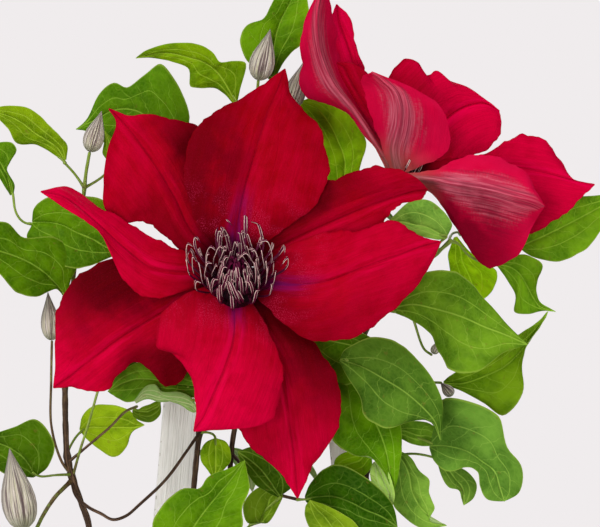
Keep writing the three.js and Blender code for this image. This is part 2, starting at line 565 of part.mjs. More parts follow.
// Each entry is one node: the vine that it grows on, its petioles and its blades.
const LEAVES = {
  leaf_high_left: {
    on: 'left',
    petioles: [[[-75, 0, 386], [-75.4, -0.4, 386.8], [-77.5, -1, 388.5]]],
    blades: [{ base: [-75.6, -0.5, 386.9], mid: [-88.8, -3, 399.4], tip: [-106, -6, 406],
      left: [3, 5, 5, 2.5], right: [4.5, 6, 6.5, 4], wave: 0.8 }],
  },
  leaf_left_pair: {
    on: 'left',
    petioles: [[[-70.6, 3, 348], [-74, -2, 355], [-84, -6, 360.5], [-89.2, -8, 361.6]],
      [[-84, -6, 360.5], [-91.5, -8, 362.2], [-94.4, -9, 366], [-95.6, -10, 373.5]]],
    blades: [{ base: [-88, -8, 361.6], mid: [-70, -15, 359.6], tip: [-52.6, -17, 350.2],
      left: [8, 12, 9, 4], right: [5, 5, 6, 4], rise: [0.2, 0.1], wave: 0.8 },
    { base: [-95.6, -10, 372.8], mid: [-102, -12, 382], tip: [-108, -13, 392],
      left: [4, 7, 6, 3], right: [3, 6, 7.5, 4], ...SMALL }],
  },
  leaf_small_high: {
    on: 'left',
    petioles: [[[-57.3, 4, 385.5], [-57, 4, 386.6], [-56.7, 4, 388.5]]],
    blades: [{ base: [-57.1, 4, 386.6], mid: [-56.6, 4, 392], tip: [-59, 4, 399], left: [2, 3.4, 3, 1.5],
      right: [2, 3, 2.6, 1.4], ...SMALL }],
  },
  leaf_behind_bloom: {
    on: 'middle',
    petioles: [[[-6, 2, 375], [-14, 12, 382], [-24, 22, 388], [-33, 26, 391]]],
    blades: [{ base: [-31.2, 26, 390.6], mid: [-50, 24, 403], tip: [-70.8, 19, 400],
      left: [6, 9, 8, 4], right: [12, 26, 22, 13.5], rise: [0.1, -0.1], wave: 1.2 }],
  },
  leaf_top_left: {
    on: 'middle',
    petioles: [[[1.5, 2, 409], [-2, -3, 408.4], [-5.6, -8, 410.8], [-6.8, -8.6, 413]]],
    blades: [{ base: [-5.6, -8, 410.8], mid: [-24, -12, 428], tip: [-46.4, -14, 428],
      left: [4, 9.5, 5, 2], right: [7.5, 8.5, 5, 2.5], rise: [-0.25, 0.3], wave: 0.8 }],
  },
  leaf_top: {
    on: 'middle',
    petioles: [[[1.5, 2, 409], [4.5, 0, 413], [8.8, -3, 418.8], [8.8, -3, 421]]],
    blades: [{ base: [8.8, -3, 418.8], mid: [8.8, -1, 439.6], tip: [20, 0, 460.8],
      left: [6, 12, 10, 6], right: [4, 9, 12.5, 8], rise: [0.25, 0.1], wave: 0.8 }],
  },
  leaf_right_of_top: {
    on: 'inner',
    petioles: [[[27, 7, 366], [31, 9, 370], [36, 10, 372], [38, 10, 374]]],
    blades: [{ base: [37, 10, 372.8], mid: [32.8, 13, 394.8], tip: [24.8, 14, 413],
      left: [8, 13, 12, 5], right: [8, 14, 11, 5], rise: [0.1, 0.1], wave: 1 }],
  },
  leaf_left: {
    on: 'left',
    petioles: [[[-73.8, -1, 317], [-75, -6, 325], [-74, -11, 331], [-75.5, -12.4, 333.5]]],
    blades: [{ base: [-74, -11.4, 332], mid: [-88.8, -20, 346], tip: [-109, -26, 352],
      left: [7, 12, 10, 5], right: [10, 12.5, 11, 6], rise: [0.15, -0.2], wave: 0.8 }],
  },
  leaf_low_left: {
    on: 'left',
    petioles: [[[-71.9, -12, 260.5], [-78, -20, 260.5], [-84, -26, 260.2], [-87, -28, 261.5]]],
    blades: [{ base: [-85.6, -27, 260.6], mid: [-96, -30, 268], tip: [-110, -31, 268],
      left: [4, 7, 8, 4], right: [9, 13, 11, 6], rise: [0.1, 0.15], wave: 0.6 }],
  },
  leaf_pale_left: {
    on: 'left',
    petioles: [[[-73.6, -11, 267.5], [-73, -3, 271], [-70, 3, 276], [-67.5, 5, 278.2]]],
    blades: [{ base: [-69, 4, 277.4], mid: [-56, 8, 279], tip: [-42.8, 9, 280],
      left: [5, 9, 8, 4], right: [5, 9.5, 9, 4.5], rise: [0.1, 0.1], ...SMALL }],
  },
  leaf_under_bloom: {
    on: 'middle',
    petioles: [[[-17.4, 6.5, 294], [-18, -4, 296], [-21, -18, 296.4], [-25, -22.5, 295.6]],
      [[-18, -4, 296], [-17, -20, 292.6], [-20.4, -28, 290.6], [-23.4, -31, 290.8]]],
    blades: [{ base: [-23, -21.6, 295.9], mid: [-40, -23, 297.5], tip: [-56.8, -24, 294.6],
      left: [2.4, 4, 4.5, 3], right: [5, 8, 8.5, 4.5], rise: [0.8, -0.3], wave: 0.5 },
    { base: [-21.8, -29.6, 290.7], mid: [-33, -31, 292], tip: [-44, -31, 289.8],
      left: [2, 3, 2.6, 1.4], right: [2, 3.4, 3.4, 2], rise: [-0.4, -0.5], ...SMALL }],
  },
  leaf_twig_end: {
    on: 'left',
    petioles: [[[-73.2, -11.5, 265.5], [-66, -16, 271.5], [-56, -19, 280], [-50, -20, 286],
      [-45.5, -20, 288]]],
    blades: [{ base: [-47.2, -20, 287.6], mid: [-40.5, -21, 285.4], tip: [-34.6, -21, 286.4],
      left: [1.6, 2.6, 2.6, 1.4], right: [1.6, 2.8, 3.2, 1.6], rise: [0.3, 0.3], ...SMALL }],
  },
  leaf_hidden_left: {
    on: 'left',
    petioles: [[[-61, -17, 295], [-60.4, -16.6, 297.5], [-59, -15.6, 301]]],
    blades: [{ base: [-60.3, -16.2, 298.6], mid: [-52, -13, 309], tip: [-42, -12, 321],
      left: [5, 8, 7, 3], right: [5, 8, 7, 3], rise: [0.15, 0.15], ...SMALL }],
  },
  leaf_olive: {
    on: 'middle',
    petioles: [[[-20.6, 8, 277], [-17, 3, 277], [-14.4, -2, 275.6], [-14, -3, 272.4]]],
    blades: [{ base: [-14.2, -2.4, 274.8], mid: [-14, -4, 267], tip: [-14.4, -3, 258],
      left: [4, 6, 6, 3], right: [4, 6, 6, 3], rise: [0.1, 0.1], ...SMALL }],
  },
  leaf_front_low: {
    on: 'middle',
    petioles: [[[-26.4, 7.4, 215], [-29, -8, 218], [-30, -24, 222], [-28.6, -31, 226.6],
      [-27, -33, 229.6]]],
    blades: [{ base: [-28.2, -31.4, 227], mid: [-18, -42, 248.6], tip: [-1.4, -44, 266.2],
      left: [9, 15, 11.5, 5.5], right: [9, 15, 13.5, 8], rise: [0.12, 0.2], wave: 0.8 }],
  },
  leaf_dark_pair: {
    on: 'inner',
    petioles: [[[-6.6, 7.4, 232], [0, -4, 240], [8, -16, 248], [12, -21, 251.6]],
      [[0, -4, 240], [3.4, -9, 241], [5.4, -12, 241.6]]],
    blades: [{ base: [11.6, -20.4, 251.2], mid: [3.4, -24, 261.6], tip: [-5.4, -24, 269.4],
      left: [4.5, 8, 7, 3.4], right: [5, 8.4, 7.4, 3.6], rise: [0.15, 0.15], ...SMALL },
    { base: [4.6, -11, 241.2], mid: [7, -14.6, 247.4], tip: [8.6, -17, 255], left: [4, 6, 5, 2.4],
      right: [4, 6, 5, 2.4], rise: [0.15, 0.15], ...SMALL }],
  },
  leaf_dark_right: {
    on: 'inner',
    petioles: [[[19, -17, 250.6], [20, -18, 250.6], [23, -20.5, 250.8], [24.5, -21.5, 251]]],
    blades: [{ base: [22, -19.8, 250.7], mid: [40, -30, 249.4], tip: [59, -31, 240.6],
      left: [8, 13.5, 11, 5.5], right: [6, 11, 9.5, 4.5], rise: [0.1, 0.25], wave: 0.6 }],
  },
  leaf_shaded: {
    on: 'right',
    petioles: [[[45.2, 3, 298], [42, -8, 302], [38.6, -20, 306], [37.6, -25, 307.8], [39, -26.6, 306.6]]],
    blades: [{ base: [37.6, -25.2, 307.4], mid: [56.8, -33, 296.6], tip: [76.4, -36, 276],
      left: [8, 16, 13.5, 7.5], right: [5, 12, 15, 6], rise: [-0.15, -0.1], wave: 0.8 }],
  },
  leaf_under_shaded: {
    on: 'right',
    petioles: [[[45.6, 3.3, 294], [42, -6, 294], [40, -14, 292.6], [40.4, -16.4, 289.6]],
      [[42, -6, 294], [46, -8, 285], [48.6, -8, 271], [48, -7.4, 268]]],
    blades: [{ base: [40.1, -15.6, 291], mid: [51.4, -24, 266], tip: [55.2, -21, 243.6],
      left: [8, 11.5, 10, 6], right: [8, 13, 7, 3], rise: [-0.1, 0.35], wave: 0.8 },
    { base: [48.4, -7.8, 269.4], mid: [43, -8, 264], tip: [38, -7, 258.6], left: [3, 5.6, 4.6, 2],
      right: [3, 5, 4, 2], ...SMALL }],
  },
  leaf_right_low: {
    on: 'right',
    petioles: [[[46.8, 4, 262], [54, -2, 267], [58, -8, 271], [58.6, -9, 269.6]],
      [[54, -2, 267], [66, -2, 268.6], [76, -5, 266.4], [79, -6, 264.4]]],
    blades: [{ base: [58.4, -8.6, 270.4], mid: [65, -13, 254], tip: [78.8, -15, 239.8],
      left: [4, 7, 8, 4], right: [5, 8, 7, 3], rise: [0.15, 0.1], wave: 0.6 },
    { base: [78, -5.8, 265.2], mid: [84.4, -8, 258], tip: [88.8, -9, 248.6], left: [4, 6, 5, 2],
      right: [4, 6, 4.6, 2], ...SMALL }],
  },
  leaf_large_right: {
    on: 'right',
    petioles: [[[52, -5, 326], [54, -12, 327], [55.6, -19, 326.4], [58, -20.6, 326]]],
    blades: [{ base: [55.4, -19, 326.2], mid: [84, -30, 323.8], tip: [111.2, -33, 312.8],
      left: [8.5, 17.5, 11.5, 6], right: [4.5, 12, 19.5, 10], rise: [-0.15, -0.1], wave: 0.8 }],
  },
  leaf_right_middle: {
    on: 'right',
    petioles: [[[45.2, 3, 299], [56, 6, 298.6], [68, 4, 297.6], [77, 3, 297.2]]],
    blades: [{ base: [75.6, 3.2, 297.2], mid: [100, 1, 306], tip: [117.2, -5, 323.6],
      left: [5, 9, 8, 3.5], right: [5, 10, 19.5, 9.5], rise: [0.1, 0.2], wave: 1.2 }],
  },
  leaf_right_lobed: {
    on: 'right',
    petioles: [[[47, 4, 274], [58, -4, 277.6], [66, -8, 275.6], [71.4, -12, 273.8], [73, -13, 273]]],
    blades: [{ base: [72, -12.4, 273.6], mid: [91.2, -22, 268.8], tip: [109.4, -24, 255.8],
      left: [10, 18.5, 13.5, 7], right: [4, 8, 6.5, 8], rise: [-0.1, 0.3], wave: 1 }],
  },
  leaf_back_right: {
    on: 'right',
    petioles: [[[79.5, -16.8, 353.6], [81, -8, 357], [84, 6, 358], [85, 12, 357]]],
    blades: [{ base: [84.6, 10, 357.4], mid: [89, 17, 345], tip: [91.6, 16, 330.6], left: [7, 10.5, 9, 4],
      right: [7, 11, 9.5, 4], rise: [0.1, 0.1] }],
  },
  leaf_right_pair: {
    on: 'right',
    petioles: [[[80.5, -17, 354.5], [83.5, -16, 353.4], [88, -10, 348.6], [95, -2, 345.6], [101.4, 6, 346]],
      [[95, -2, 345.6], [101, 4, 349.6], [107, 10, 351.6], [110, 13, 352.4]]],
    blades: [{ base: [108.8, 12, 352.2], mid: [128, 14, 361], tip: [152.6, 10, 374.6],
      left: [8, 13, 11, 5], right: [6, 12, 12, 6], rise: [0.15, 0.15], wave: 0.8 },
    { base: [100.4, 4.8, 346], mid: [112, 3, 337.4], tip: [123.2, -3, 326.8], left: [5, 8, 4.4, 2],
      right: [4, 5.4, 5.4, 3], rise: [0.4, -0.3], wave: 0.6 }],
  },
  leaf_notch: {
    on: 'right',
    petioles: [[[75, -15.2, 349.4], [76, -18.6, 353.6], [79, -20.4, 356.4], [76.4, -20.8, 356.8]]],
    blades: [{ base: [79, -19.9, 356.2], mid: [65, -22, 358.6], tip: [51, -22, 360.4],
      left: [1, 1.5, 1.5, 1], right: [6, 13, 10, 5], rise: [0.1, 0.1] }],
  },
};

// Sprays of three leaflets that fill the foot and the back of the plant: the vine and height that each
// grows at,
// the compass bearing that it reaches to (0 is +X, 90 is +Y), its reach, its rise and its leaflets' length.
const SPRAYS = {
  spray_foot_1: { on: 'left', from: [-61, -12, 180], bearing: 205, reach: 30, rise: 4, leaflet: 34 },
  spray_foot_3: { on: 'middle', from: [-26, 3.8, 164], bearing: 255, reach: 40, rise: 8, leaflet: 36 },
  spray_foot_4: { on: 'inner', from: [-2.5, 4, 190], bearing: 285, reach: 44, rise: 6, leaflet: 34 },
  spray_foot_5: { on: 'right', from: [42, 2, 180], bearing: 315, reach: 30, rise: -2, leaflet: 36 },
  spray_foot_6: { on: 'right', from: [46, 4, 222], bearing: 350, reach: 30, rise: 4, leaflet: 34 },
  spray_back_1: { on: 'middle', from: [-26.6, 7, 196], bearing: 82, reach: 44, rise: 4, leaflet: 34 },
  spray_back_3: { on: 'inner', from: [-7.5, 8, 252], bearing: 84, reach: 44, rise: 8, leaflet: 34 },
  spray_back_4: { on: 'left', from: [-74.2, -3, 304], bearing: 50, reach: 28, rise: 4, leaflet: 30 },
  spray_back_5: { on: 'inner', from: [6, 7.6, 313], bearing: 80, reach: 44, rise: 8, leaflet: 34 },
  spray_back_6: { on: 'inner', from: [23.5, 6, 349], bearing: 74, reach: 40, rise: 12, leaflet: 34 },
};

// Three leaflets on a forked petiole, laid out by rule.
function spray({ from, bearing, reach, rise, leaflet }) {
  const turn = THREE.MathUtils.degToRad(bearing);
  const ahead = (degrees) => V(
    Math.cos(turn + THREE.MathUtils.degToRad(degrees)), Math.sin(turn + THREE.MathUtils.degToRad(degrees)),
      0,
  );
  const root = V(...from);
  const step = (p, direction, length, up) => p.clone().addScaledVector(direction,
    length).addScaledVector(UP, up);
  const fork = step(root, ahead(0), reach * 0.72, rise + 6);
  const petioles = [[root, step(root, ahead(0), reach * 0.4, rise * 0.5 + 6), fork]];
  const blades = [[0, 0.3, 1], [72, 0.22, 0.82], [-72, 0.22, 0.82]].map(([angle, stalk, size]) => {
    const out = ahead(angle);
    const start = step(fork, out, reach * stalk, 2);
    petioles.push([fork, step(start, out, 1.6, -0.3)]);
    const length = leaflet * size;
    const width = length * 0.31;
    return {
      base: start.toArray(), mid: step(start, out, length * 0.47, -length * 0.1).toArray(),
      tip: step(start, out, length * 0.84, -length * 0.5).toArray(), left: PLAIN.map((w) => w * width),
      right: PLAIN.map((w) => w * width), rise: [0.22, 0.22],
      face: out.clone().multiplyScalar(0.5).addScaledVector(UP, 0.87).normalize(), ...SMALL,
    };
  });
  return { petioles: petioles.map((points) => points.map((p) => p.toArray())), blades };
}

// ---- assembly ----
const plant = new THREE.Group();
plant.name = 'clematis';

function addNode(name, solid, colour, roughness) {
  const material = new THREE.MeshStandardMaterial({ color: colour, roughness, metalness: 0,
    flatShading: true });
  const mesh = new THREE.Mesh(toGeometry(solid), material);
  mesh.name = name;
  plant.add(mesh);
}

const legHoles = ['left', 'right'].map((side) => {
  const height = SOIL.top + 8 - SOIL.legFoot;
  const middle = SOIL.legFoot + height / 2;
  const slack = 2 * Math.tan(lean) * (height / 2) + 2 * SEAT;
  const slot = new THREE.BoxGeometry(LATH.width + slack, LATH.depth + 2 * SEAT, height);
  return toSolid(slot.translate(uprightX(side, middle), LATH.back - LATH.depth / 2, middle));
});
const stemHoles = Object.values(VINES).map(({ woody }) => {
  const [[x0, y0], [x1, y1]] = woody.points;
  const slack = Math.hypot(x1 - x0, y1 - y0) / 2 + 4 * SEAT;
  return stemHole((x0 + x1) / 2, (y0 + y1) / 2, woody.radius + slack);
});

addNode('pot', makePot(), COLOUR.terracotta, 0.85);
addNode('soil', makeSoil([...legHoles, ...stemHoles]), COLOUR.soil, 0.95);
for (const side of ['left', 'right']) addNode(`trellis_upright_${side}`, makeUpright(side), COLOUR.lath,
  0.6);
RUNG.levels.forEach((z, i) => addNode(`trellis_rung_${i + 1}`, makeRung(z), COLOUR.lath, 0.6));
for (const [name, vine] of Object.entries(VINES)) addNode(`vine_${name}`, makeVine(vine), COLOUR.bark, 0.8);

BLOOMS.forEach((bloom, i) => {
  addNode(`bloom_${i + 1}_tepals`, makeBloom(bloom), COLOUR.tepal, 0.6);
  addNode(`bloom_${i + 1}_stamens`, makeStamens(bloom), COLOUR.stamen, 0.6);
});
for (const [name, bud] of Object.entries(BUDS)) addNode(name, makeBud(bud), COLOUR.bud, 0.6);

const BARK_REACH = 9; // how near a petiole's root the vine's lengths count as its bark

// The lengths of a vine near a point, a little fatter, to trim what grows there to its bark.
function barkNear(vineName, point) {
  const vine = VINES[vineName];
  const near = [];
  for (const { points, radius } of [vine.woody, vine.young, ...Object.values(vine.sides)]) {
    for (let i = 0; i < points.length - 1; i += 1) {
      const span = new THREE.Line3(V(...points[i]), V(...points[i + 1]));
      const closest = span.closestPointToPoint(point, true, V(0, 0, 0));
      if (closest.distanceTo(point) < BARK_REACH) {
        near.push(stem(points, radius + SEAT));
        break;
      }
    }
  }
  return near;
}

// A node of leaves: its petioles and blades grown together, trimmed to the vine's bark.
function addLeaves(name, { on, petioles, blades }) {
  const grown = join([...petioles.map(petiole), ...blades.map(leafBlade)]);
  const trimmed = cut(grown, barkNear(on, V(...petioles[0][0])));
  const pieces = trimmed.decompose().sort((a, b) => b.volume() - a.volume());
  addNode(name, pieces[0], COLOUR.leaf, 0.55);
}

for (const [name, leaf] of Object.entries(LEAVES)) addLeaves(name, leaf);
for (const [name, plan] of Object.entries(SPRAYS)) addLeaves(name, { on: plan.on, ...spray(plan) });

export default plant;
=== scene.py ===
"""Dresses a potted clematis on its trellis: petals, stamens, leaves, stems, laths, clay and soil."""

import math

import bpy
import numpy as np
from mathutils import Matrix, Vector


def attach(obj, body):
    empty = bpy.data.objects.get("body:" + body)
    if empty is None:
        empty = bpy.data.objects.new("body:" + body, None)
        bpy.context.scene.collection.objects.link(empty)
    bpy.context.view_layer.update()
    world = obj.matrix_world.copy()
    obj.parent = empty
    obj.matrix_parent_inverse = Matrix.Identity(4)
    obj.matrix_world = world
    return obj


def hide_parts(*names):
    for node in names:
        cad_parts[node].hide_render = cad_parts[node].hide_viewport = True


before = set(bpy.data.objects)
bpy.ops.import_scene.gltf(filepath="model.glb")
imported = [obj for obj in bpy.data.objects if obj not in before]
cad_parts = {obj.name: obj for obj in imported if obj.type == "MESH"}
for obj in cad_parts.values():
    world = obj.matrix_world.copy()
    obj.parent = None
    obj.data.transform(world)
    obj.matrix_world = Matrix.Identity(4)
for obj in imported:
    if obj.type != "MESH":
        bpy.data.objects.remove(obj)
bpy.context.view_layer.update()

bl_info = {
    "name": "Potted clematis",
    "version": (1, 0, 0),
    "blender": (4, 5, 0),
    "location": "View3D > Sidebar > Clematis",
    "description": "Petals, stamens, leaves, stems, a painted trellis, a clay pot and soil",
    "category": "Object",
}

MM = 0.001
VIEW = np.array([0.0, -1.0, 0.0])  # out of the plant's front
UP = np.array([0.0, 0.0, 1.0])
LAYERS = ("blade", "plan", "tint")  # what each point of a surface knows about itself
VECTORS = ("Spot", "Plan", "Tint")  # node group sockets that carry a vector; the others carry a number

# ---- the plant's own measures, in millimetres ----

# A stem's woody part, young part and side stems, each as its radius and the points that it runs through.
VINES = {
    "left": {
        "woody": (1.4, [[-48, -8, 112], [-49, -8, 141], [-59, -12, 175], [-64, -12, 210], [-65, -12, 240],
        [-68, -12, 249], [-71.6, -12, 259], [-73.6, -11, 267], [-74.4, -9, 279], [-74.8, -5, 297]]),
        "young": (1, [[-74.8, -5, 297], [-73.6, 0, 319], [-71.2, 3, 343], [-68.8, 4, 359], [-67.2, 3, 376]]),
        "sides": {
            "bud_1": (0.8, [[-67.2, 3, 376], [-66.4, 1, 382.5], [-65, -2, 390]]),
            "high_leaf": (0.6, [[-67.2, 3, 376], [-71, 2, 381.5], [-75, 0, 386]]),
            "small_leaf": (0.6, [[-67.2, 3, 376], [-62, 4, 379], [-58.5, 4, 382], [-57.3, 4, 385.5]]),
            "loop": (0.75, [[-72, -12, 259], [-70, -15, 252], [-65, -17, 247.5], [-60, -18, 245],
            [-55.2, -19, 242.6], [-50, -19, 244], [-44, -18, 249], [-34, -15, 258.5], [-25.5, -10, 270],
            [-19, -3, 279.5]]),
            "bud_4": (0.6, [[-71.8, -12, 260], [-76, -13, 266], [-80, -13, 280], [-80.2, -10, 298],
            [-80, -7, 314]]),
            "bud_5": (0.9, [[-72, -12, 258], [-78, -22, 252], [-82.5, -36, 245], [-86, -48, 238],
            [-88.5, -53, 236], [-89.5, -54, 239.5]]),
            "rising": (0.6, [[-71.6, -12, 259], [-68.8, -15, 269], [-65, -17, 281], [-61, -17, 295]]),
        },
    },
    "middle": {
        "woody": (1.3, [[-21, 2, 112], [-22, 2, 141], [-27, 4, 170], [-27, 7, 205], [-24.5, 8, 240],
        [-23, 8, 255], [-20.5, 8, 278], [-16, 6, 300], [-10, 3, 325]]),
        "young": (1, [[-10, 3, 325], [-7, 2, 345], [-6, 2, 372], [-2, 3, 395], [1.5, 2, 409]]),
        "sides": {
            "bloom_1": (1.5, [[-10, 3, 325], [-8, -10, 334], [-6.5, -24, 340], [-6, -38.8, 342]]),
            "bud_2": (0.7, [[1.5, 2, 409], [2.6, -4, 413.5], [3.2, -9, 419]]),
            "bud_3": (0.7, [[-2, 3, 395], [6, 3, 400], [13, -2, 404], [16, -4, 407.5]]),
        },
    },
    "inner": {
        "woody": (1.2, [[7, -2, 112], [6, -1, 141], [-1, 3, 180], [-7, 7, 225], [-7.5, 8, 272], [0, 8, 300],
        [14, 7, 328]]),
        "young": (1, [[14, 7, 328], [24, 6, 350], [27, 7, 366]]),
        "sides": {
            "bloom_2": (1.4, [[14, 7, 328], [30, -2, 342], [45, -12, 353], [52.5, -13.4, 366],
            [56.1, -12.9, 373.1]]),
            "low_right": (0.8, [[-7.5, 8, 268], [-1, -2, 262], [5, -10, 257.5], [11, -14, 252.8],
            [19, -17, 250.6]]),
        },
    },
    "right": {
        "woody": (1.3, [[37, -4, 112], [38, -3, 141], [42, 2, 180], [46, 4, 215], [46.5, 4, 250], [47, 4, 275],
        [45, 3, 300]]),
        "young": (1, [[45, 3, 300], [46, 0, 316], [52, -5, 326], [61, -10, 337], [71, -14, 346],
        [80.5, -17, 354.5]]),
        "sides": {
            "bud_7": (0.6, [[61, -10, 337], [66, -8, 322], [70, -6, 311], [73, -6, 308.6]]),
            "bud_6": (0.6, [[47, 4, 275], [62, -2, 281], [74, -9, 289], [80.5, -12, 291]]),
        },
    },
}

# A petal's look, its rib and its two edges. The look is its violet flush at the claw (below zero: how much
# painted shade lies on its foot), pinkness (below zero: painted shade over the whole petal), ruffle, and the
# side that takes painted shade (minus left, plus right). Points run right, up and forward from the bloom's
# centre.
TEPALS_1 = {
    "top": ((1.0, -0.15, 1.0, -0.8),
        [[0.4, 4, -4], [1, 16, -1], [4, 33, 1], [8, 47, 1], [13, 63, -1], [17, 72, -4], [20, 81, -8]],
        [[-14, 17.6, 1], [-20, 37, 5], [-16, 56, 1], [-1, 68, -4], [10, 74, -6]],
        [[16.4, 14.4, -2], [32, 27, -1], [38, 43, -2], [30, 62, -6], [23, 70, -7]]),
    "upper_left": ((-0.5, 0.1, 0.9, 0.9),
        [[-3.6, 4, -6], [-17, 16, -7], [-24, 30, -6], [-32, 43, -4], [-40, 54, -2], [-45, 60, -1],
        [-50, 65, 0]],
        [[-17, 4, -8], [-24, 11, -8], [-30, 16, -8], [-35, 20, -8], [-44, 20, -8], [-51, 24, -8], [-52, 35, -8],
        [-50, 49, -6], [-47, 59, -3]],
        [[-8, 18.8, -9], [-8, 43, -10], [-15, 58, -8], [-30, 62, -5], [-41, 62, -2]]),
    "left": ((0.0, 0.8, 0.5, 0.05),
        [[-4.4, 0.8, -3], [-19, 0, 0], [-33, 2, 2], [-44, 10, 3], [-56, 21, 4], [-68, 30, 4], [-77, 32, 2]],
        [[-19.6, -7.6, 2], [-35, -10, 6], [-44, -3, 8], [-54, 16, 8], [-67, 25, 7]],
        [[-19, 8, -3], [-27, 11, -4], [-35, 15, -4], [-44, 21, -4], [-56, 27, -4], [-67, 34, -1]]),
    "lower_left": ((-0.85, 0.45, 0.9, 0.9),
        [[-3.6, -4, -6], [-18, -10, -7], [-32, -18, -7], [-45, -26, -5], [-57, -35, -3], [-66, -42, 0],
        [-72, -46, 2]],
        [[-14, -31.2, -8], [-26, -46, -12], [-40, -36, -9], [-52, -47, -3], [-65, -46, 0]],
        [[-22, 0, -9], [-45, 6, -9], [-64, -3, -8], [-71, -16, -6], [-71, -32, -2]]),
    "bottom": ((0.8, 0.9, 0.8, 0.1),
        [[-0.4, -4.8, -2], [0, -14, 3], [0, -25, 8], [-3, -36, 12], [-8, -48, 15], [-12, -57, 16],
        [-16, -63, 16]],
        [[10.8, -17.6, 0], [17, -32, 4], [19, -45, 8], [14, -59, 12], [-1, -62, 15]],
        [[-14, -6.4, 4], [-29, -17, 6], [-30, -30, 7], [-22, -35, 9], [-17, -43, 12], [-15, -55, 15]]),
    "lower_right": ((-0.85, 0.5, 0.8, -0.6),
        [[2, -5.6, -6], [8, -18, -7], [16, -34, -7], [20, -49, -6], [22, -63, -4], [24, -77, -2], [25, -90, 0]],
        [[20, -18.4, -8], [33, -30, -9], [42, -46, -9], [40, -64, -6], [31, -78, -3]],
        [[0, -19.2, -7], [-1, -39, -8], [0, -57, -7], [7, -70, -5], [18, -80, -2]]),
    "upper_right": ((-0.6, 0.1, 1.6, -0.6),
        [[4.4, 4, -6], [19, 11, -7], [34, 18, -7], [48, 24, -7], [61, 29, -8], [71, 32, -11], [77, 33, -15]],
        [[14, 20, -8], [26, 31, -6], [40, 37, -4], [56, 42, -2], [70, 39, -6]],
        [[22, 4, -8], [40, 9, -8], [57, 15, -8], [64, 26, -9], [74, 29, -12]]),
    "right": ((0.8, 0.4, 0.9, 0.35),
        [[4.4, -2.4, -3], [20, -5, 0], [35, -4, 2], [49, 1, 3], [63, 6, 2], [74, 10, 0], [82, 12, -2]],
        [[22, 10.8, 0], [38, 16, 0], [50, 17, -1], [65, 20, -2], [75, 14, -2]],
        [[13.2, -14.4, 0], [30, -27, -3], [47, -26, 2], [64, -14, 3], [76, -1, 0]]),
}

TEPALS_2 = {
    "tall": ((0.1, 0.5, 1.0, 0.3),
        [[-3.4, 1.4, 2.6], [-9, 10, 6], [-18, 24, 10], [-28, 37, 12], [-33, 50, 13], [-34, 65, 12],
        [-31, 78, 10]],
        [[-6.4, 11.2, 2], [-14, 23, -2], [-23, 38, -6], [-26, 52, -6], [-28, 66, 0]],
        [[-12, 12.8, 3], [-22, 24, 4], [-39, 33, 2], [-41, 46, 3], [-38, 64, 8]]),
    "back_left": ((0.0, 1.4, 0.9, 0.1),
        [[-3.2, 1.2, -2.4], [-7, 16, -7], [-13, 30, -11], [-18, 42, -14], [-22, 54, -15], [-25, 62, -15],
        [-26, 69, -14]],
        [[-10.4, 13.6, -5], [-20, 28, -10], [-28, 41, -12], [-31, 52, -12], [-29, 62, -13]],
        [[-4, 17.6, -6], [-7, 30, -12], [-14, 41, -14], [-18, 53, -15], [-21, 64, -15]]),
    "inner_left": ((0.1, 0.2, 0.6, 0.6),
        [[-3.6, 1.2, 0], [-6, 13, -2], [-11, 23, -3], [-17, 32, -4], [-21, 39, -4], [-23, 43, -3],
        [-26, 45, -2]],
        [[-8.8, 11.6, 0], [-17, 22, -3], [-24, 32, -6], [-29, 40, -6], [-28, 43, -4]],
        [[-3.2, 14.4, -3], [-6, 25, -5], [-10, 34, -6], [-14, 41, -6], [-19, 45, -4]]),
    "front": ((0.0, 0.5, 0.8, 0.2),
        [[-1, 0, 3.7], [-3, 10, 9], [-1, 20, 14], [-1, 27, 16], [-3, 33, 16], [-7, 37, 15], [-12, 41, 13]],
        [[7.2, 3, 3.6], [19, 10, 3], [17, 25, 6], [9, 32, 9], [-2, 37, 12]],
        [[-8, 9.6, 5], [-11, 21, 6], [-14, 30, 5], [-16, 36, 4], [-16, 39, 7]]),
    "back_right": ((0.0, 1.8, 1.6, 0.05),
        [[0.4, -0.6, -3.7], [7, 10, -8], [14, 18, -13], [20, 24, -17], [27, 28, -19], [34, 29, -20],
        [40, 26, -20]],
        [[0, 14, -6], [-5, 27, -9], [-5, 38, -12], [-1, 45, -14], [4, 46, -16], [9, 43, -17], [11, 41, -17],
        [15, 43, -18], [19, 39, -19], [27, 36, -20], [35, 30, -20]],
        [[10.4, 4.8, -6], [20, 6, -10], [30, 8, -13], [38, 13, -16], [41, 20, -18]]),
    "low_right": ((0.0, 0.3, 1.0, -1.0),
        [[1.6, -1.6, 3.6], [11, -2, 8], [22, -4, 14], [34, -6, 18], [45, -9, 20], [52, -11, 20], [57, -13, 18]],
        [[11.2, -6.4, 4], [22, -22, 2], [34, -37, -2], [46, -33, 4], [53, -20, 12]],
        [[10.4, 1.4, 5.4], [22, 6, 8], [35, 7, 10], [48, 2, 13], [54, -6, 17]]),
    "far_right": ((0.0, 1.4, 1.4, 0.2),
        [[2.6, -1.8, -3], [15, 2, -7], [31, 3, -9], [45, 3, -9], [58, 1, -8], [69, -2, -7], [78, -4, -6]],
        [[15.2, 7.6, -9], [33, 8, -13], [47, 16, -15], [60, 12, -13], [71, -3, -8]],
        [[15.2, -3.2, -8], [31, -10, -8], [49, -24, -4], [63, -18, -4], [73, -9, -5]]),
}

